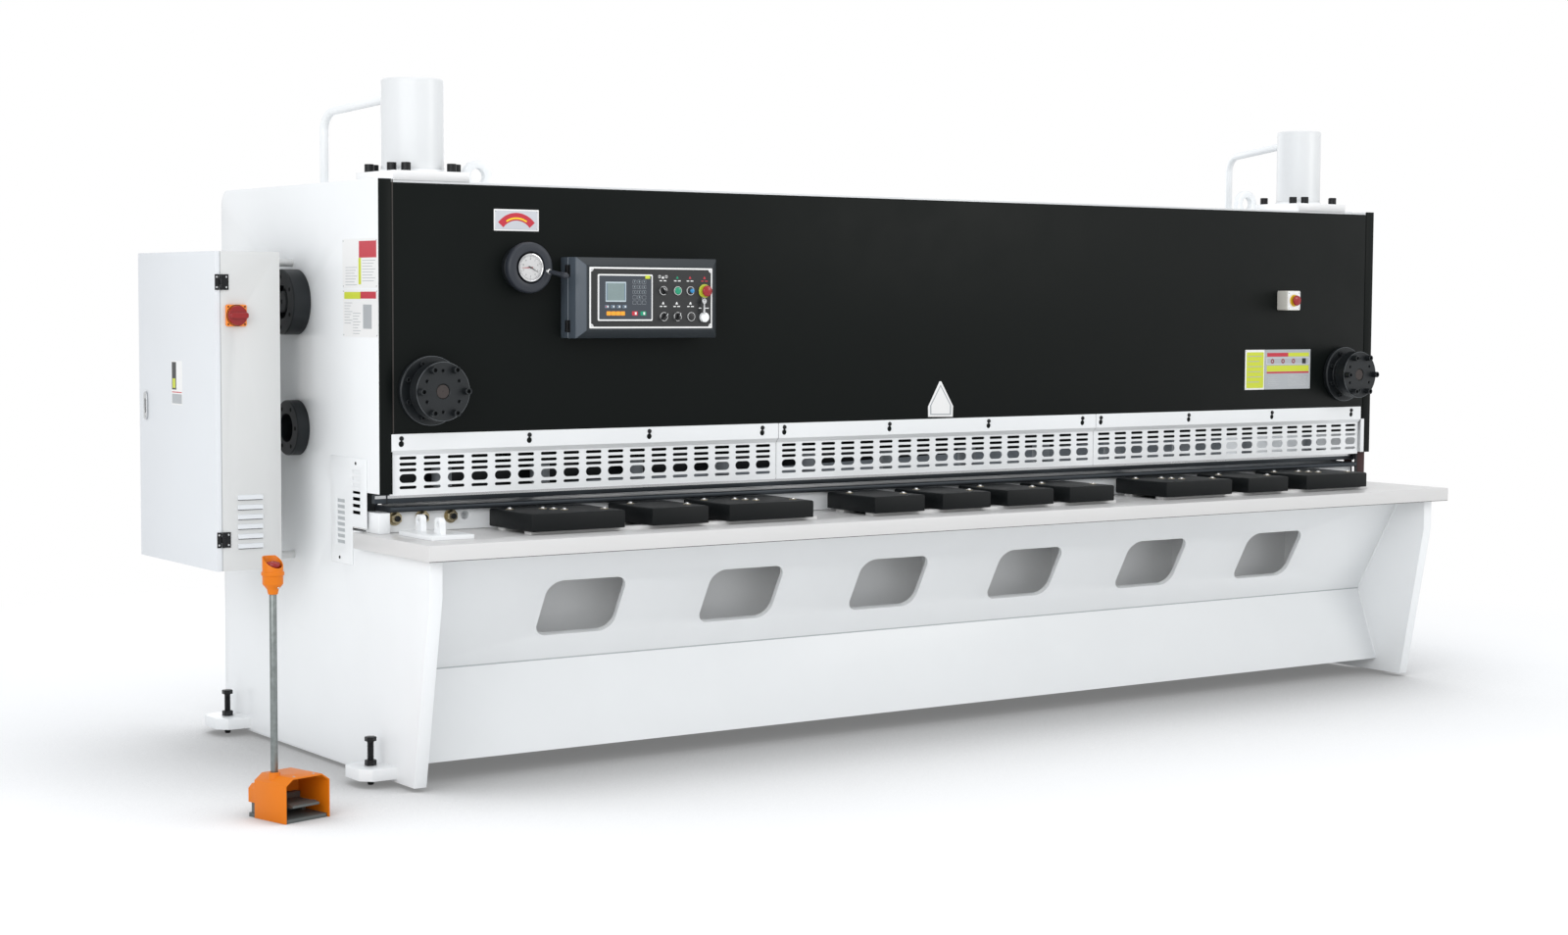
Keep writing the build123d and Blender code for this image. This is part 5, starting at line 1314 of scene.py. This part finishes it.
# %% Louvres and main switch
hood = [(-385.5, 8), (-382.2, 7), (-379.4, 2), (-378.8, -6), (-381.5, -6), (-385.5, -5)]
louvres = []
for z in range(804, 630, -29):
    louvres += [(2277, 80, 0.9, 0, [(x, z + dz) for x, dz in hood]),
                (2279, 76, 0, 1, bar(-385.2, -382, z - 8, z - 6)),
                (2279, 76, 0, 1, bar(-998.8, -999.6, z - 8, z + 6))]
layered("cabinet_louvres", LEFT, louvres, [cabinet_texture_paint, painted_shade_dark])
softened("isolator_plate", 0.8, orange_plastic)
dark_red = moulded("dark_red_abs", "8f1216", 0.25)
softened("isolator_knob", 1.6, dark_red, body="isolator")
SWITCH_X, SWITCH_Z = -2358, 1344
places = [facing(FRONT, SWITCH_X + u, 376.8, SWITCH_Z + v) for u in (-26, 26) for v in (-26, 26)]
knob_ring = turned([(30.2, 0), (31.8, 0), (31.8, 1.0), (30.2, 1.0)], 40)
gathered("isolator_screws", [(pan_screw(2.6, 1.2), *places),
                             (knob_ring, facing(FRONT, SWITCH_X, 376.9, SWITCH_Z))], black_oxide)

# %% [markdown]
# ## Behind the guard
# Seen through the guard's openings are the steel feed bar, over which the sheet is led, and a row of grey
# hold-down cylinders on their beam, all one solid in the CAD model. The rounded copy gets three finishes by
# place. The blades are dark with oil, but for the top of the lower one, which is ground bright along its
# cutting edge. The narrow space beside the blades' ends lies in shade: two dark strips there are painted
# shade.

# %% Hold-downs, feed bar and blades
FEED_BAR_BACK, FEED_BAR_TOP, CYLINDERS_TOP = 56, 826, 940
beam = softened("hold_down_beam", 1.5, [black_lacquer, beam_grey_paint, rolled_steel])
recolour(beam, 1, lambda x, y, z: z < CYLINDERS_TOP)
recolour(beam, 2, lambda x, y, z: y < FEED_BAR_BACK and z < FEED_BAR_TOP)
for name, body in (("upper_blade", "knife"), ("lower_blade", "frame")):
    blade = softened(name, 0.4, [ground_steel, oiled_steel], body=body)
    recolour(blade, 1, lambda x, y, z: z > 840 or z < 760)
# Two dark strips beside the blades' ends are painted shade.
boxes("throat_end_strips", [
    limits for side in (-1, 1) for limits in (
        (side * 2043.4, side * 2030, 118, 298, 712, 796), (side * 2043.4, side * 2041, 30, 298, 796, 826))],
    painted_shade_dark)
boxes("feed_bar_ground_face", [(-2080, 2080, 33.2, 33.9, 812.5, 821.5)], zinc_screw)

# %% [markdown]
# ## Panel, cylinders and the rest of the frame
# The remaining solids get their broken edges too: small ones on sheet, larger ones on plate and castings.
# The flanges under the cylinders get a whiter copy of the tubes' coat: painted light against the shade
# there.

# %% Rounded copies of the rest
for name, width, finish in (
        ("front_panel", 0.8, black_lacquer), ("cylinder_left", 1.5, [cylinder_paint, flange_painted_light]),
        ("cylinder_right", 1.5, [cylinder_paint, flange_painted_light]),
        ("cylinder_pipe_left", 0.4, white_powder_coat), ("cylinder_pipe_right", 0.4, white_powder_coat),
        ("oil_tank", 1.5, white_powder_coat), ("back_gauge", 2.0, beam_grey_paint),
        ("sheet_slide", 0.8, white_powder_coat), ("foot_base", 1.0, cast_aluminium),
        ("foot_post", 0.4, galvanised), ("foot_shroud", 0.8, orange_enamel)):
    thing = softened(name, width, finish)
    if finish == [cylinder_paint, flange_painted_light]:
        recolour(thing, 1, lambda x, y, z: z < FLANGE_TOP + 1)

# %% [markdown]
# Some thin things mark where sheets meet: a brown line at the left end of the front panel, painted shade at
# the step there, dark and grey lines of painted shade in the creases above and below the sloping apron, a
# strut with red primer in the right throat, darkened as painted shade, with a dark strip of painted shade
# beside it, the screws of the vent covers, and a grey sheet behind the vents, painted shade seen through the
# slots.

# %% Seams, strut and vent screws
INNER = 2043
for name, limits, finishes in (
        ("panel_seam", [(-2043.2, -2039.2, -10.5, -9.6, 1004, 1741)], edge_painted_shade),
        ("throat_strut", [(2043.8, 2082.5, 12, 22, 710.9, 827.5, 0.8),
                          (2036.5, 2043.4, 13, 21, 710.9, 822, 0, 1)], [red_primer_and_painted_shade, painted_shade_dark]),
        ("apron_seams", [(-INNER, INNER, -3.6, 0.5, 303.6, 307.4),
                         (-INNER, INNER, -197.5, -195, 661.6, 663.9, 0, 1)], [painted_shade_grey, painted_shade_dark])):
    boxes(name, limits, finishes)
places = []
for y, z in ((146, 911), (259, 624)):
    places += [facing(LEFT, -2087, y, z), facing(RIGHT, 2087, y, z)]
gathered("vent_cover_screws", [(pan_screw(5, 2.5), *places)], black_oxide)
# A grey sheet behind the slots of the left vent cover is painted shade, seen through them.
boxes("vent_backing", [(-2084.28, -2083.4, 205, 312, 616, 826)], painted_shade_grey)

# %% [markdown]
# The windows of the apron have two wide and two tighter round corners. The tighter ones are a little wider
# in the photograph than in the solid, so a small gusset fills each: its outline runs along the wide arc, and
# back along the solid's own arc, just inside the plate. The apron's slope follows from its upper edge under
# the table and its lower edge in the valley above the skirt.

# %% Gussets in the window corners
WINDOWS = [-1460 + 584 * i for i in range(6)]
WINDOW_W, WINDOW_H, WINDOW_Z = 275, 200, 472
APRON_Y, VALLEY_Y, VALLEY_Z, APRON_T = -198.7, -2.0, 305.5, 16


def gusset(sx, sy, wide=42, tight=20):
    """Outline between two arcs in a corner of a window, in the plane of the apron."""
    arc = [(cos(pi / 20 * i), sin(pi / 20 * i)) for i in range(11)]
    x, y = WINDOW_W / 2, WINDOW_H / 2
    new = [(x - wide + wide * c, y - wide + wide * d) for c, d in arc]
    old = [(x - tight + (tight + 1) * c, y - tight + (tight + 1) * d) for c, d in arc]
    return [(sx * x, sy * y) for x, y in old + new[::-1]]


rise = Vector((0, VALLEY_Y - APRON_Y, VALLEY_Z - TABLE_UNDER)).normalized()
tilt = Matrix(((1, 0, 0, 0), (0, -rise.y, rise.z, 0), (0, -rise.z, -rise.y, 0), (0, 0, 0, 1)))
middle_y = APRON_Y + (TABLE_UNDER - WINDOW_Z) * (VALLEY_Y - APRON_Y) / (TABLE_UNDER - VALLEY_Z)
sheets = [cut_sheet([gusset(s, s)], APRON_T - 0.4, edge=0.3) for s in (1, -1)]
sunk = Matrix.Translation((0, 0, 0.2 - APRON_T))
places = [Matrix.Translation((x, middle_y, WINDOW_Z)) @ tilt @ sunk for x in WINDOWS]
gathered("window_gussets", [(sheet, place) for place in places for sheet in sheets], white_powder_coat)

# %% [markdown]
# The right side has the same cover over its end of the throat: its dark inner side is seen past the end of
# the table. Those inner faces get the red primer, darkened as painted shade. It is the left one's mesh,
# mirrored about the middle of the machine; a mirror turns the faces inside out, so the normals are made
# anew.

# %% Cover of the right throat
bm = bmesh.new()
bm.from_mesh(nodes["vent_cover"].data)
bmesh.ops.remove_doubles(bm, verts=bm.verts, dist=1e-5)
bm.transform(MIRROR)
bmesh.ops.recalc_face_normals(bm, faces=bm.faces)
cover = settle("vent_cover_right", bm, [white_powder_coat, red_primer_and_painted_shade], slot="white_paint")
# The cover's inner faces get the red primer, darkened as painted shade.
for polygon in cover.data.polygons:
    if polygon.normal.x < -0.5:
        polygon.material_index = 1

# %% [markdown]
# ### Weld beads
# The box of the table and the top beam are welded between the side plates, and the lifting eyes onto the
# beam. A bead is a rod with a round section half sunk into the corner. It ripples a little, one ripple for
# every few millimetres of travel, so its radius is varied along its length. The seed is fixed, so the same
# weld comes out each time.

# %% Beads in the corners
random.seed(7)


def bead(bm, start, end, r=4.0, step=9.0):
    """Rippled weld bead between two points."""
    start, end = Vector(start), Vector(end)
    run = end - start
    count = max(2, int(run.length / step))
    turn = run.to_track_quat("Z", "Y").to_matrix().to_4x4()
    rings = []
    for i in range(count + 1):
        radius = r * (0.9 + 0.2 * random.random()) if 0 < i < count else r * 0.5
        place = Matrix.Translation(start + run * i / count) @ turn
        made = bmesh.ops.create_circle(bm, segments=8, radius=radius, matrix=place)
        rings.append(made["verts"])
    for a, b in zip(rings, rings[1:]):
        for i in range(8):
            bm.faces.new((a[i], a[(i + 1) % 8], b[(i + 1) % 8], b[i]))
    bm.faces.new(rings[0])
    bm.faces.new(rings[-1])


BEAM_TOP = 1743
bm = bmesh.new()
for side in (-1, 1):
    x = side * 2043.5
    bead(bm, (x, -197, 655), (x, -6, 312))
    bead(bm, (x, -6, 300), (x, -100, 50))
    bead(bm, (x, 64, BEAM_TOP), (x, 308, BEAM_TOP))
for x in (-1640, 1640):
    for y in (243, 219):
        bead(bm, (x - 26, y, BEAM_TOP), (x + 26, y, BEAM_TOP), r=3)
piece("weld_beads", bm, white_powder_coat)

# %% [markdown]
# ## Foot switch
# A cast base with a switch body, a ribbed treadle under an orange guard, and a galvanised post that carries
# the stop button at hand height. The treadle's ribs are cast with it and keep a boot from slipping.

# %% Treadle, button and screws
FOOT = Matrix.Translation((-2512, -340, -12)) @ Matrix.Rotation(radians(14), 4, "Z")
POST_X, POST_Y = -50, 12
softened("foot_pedal", 0.8, cast_aluminium, body="pedal")
ribs = bmesh.new()
for i in range(9):
    x = -36 + 9 * i
    block(ribs, x - 1.4, x + 1.4, -38, 30, 45.2, 48.4, edge=0.8)
gathered("treadle_ribs", [(tool(ribs), FOOT)], cast_aluminium, body="pedal")
head = turned([(0, -18), (7.9, -18), (7.9, 7), (16, 7), (19, 8), (20, 10), (20, 18), (19, 20.5), (16, 22.8),
               (14, 23), (8, 25), (0, 26)], 44)
gathered("foot_stop_head", [(head, FOOT @ Matrix.Translation((POST_X, POST_Y, 677)))], dark_red,
         body="foot_stop", stands_for="foot_stop_button")
cover_places = [FOOT @ Matrix.Translation((x, -50, 121.6)) for x in (-33, 33)]
shroud_places = [FOOT @ facing(FRONT, POST_X, POST_Y - 24, z) for z in (632, 660)]
gathered("foot_switch_screws", [(pan_screw(3.5, 1.8), *cover_places), (pan_screw(2.8, 1.5), *shroud_places)],
         zinc_screw)
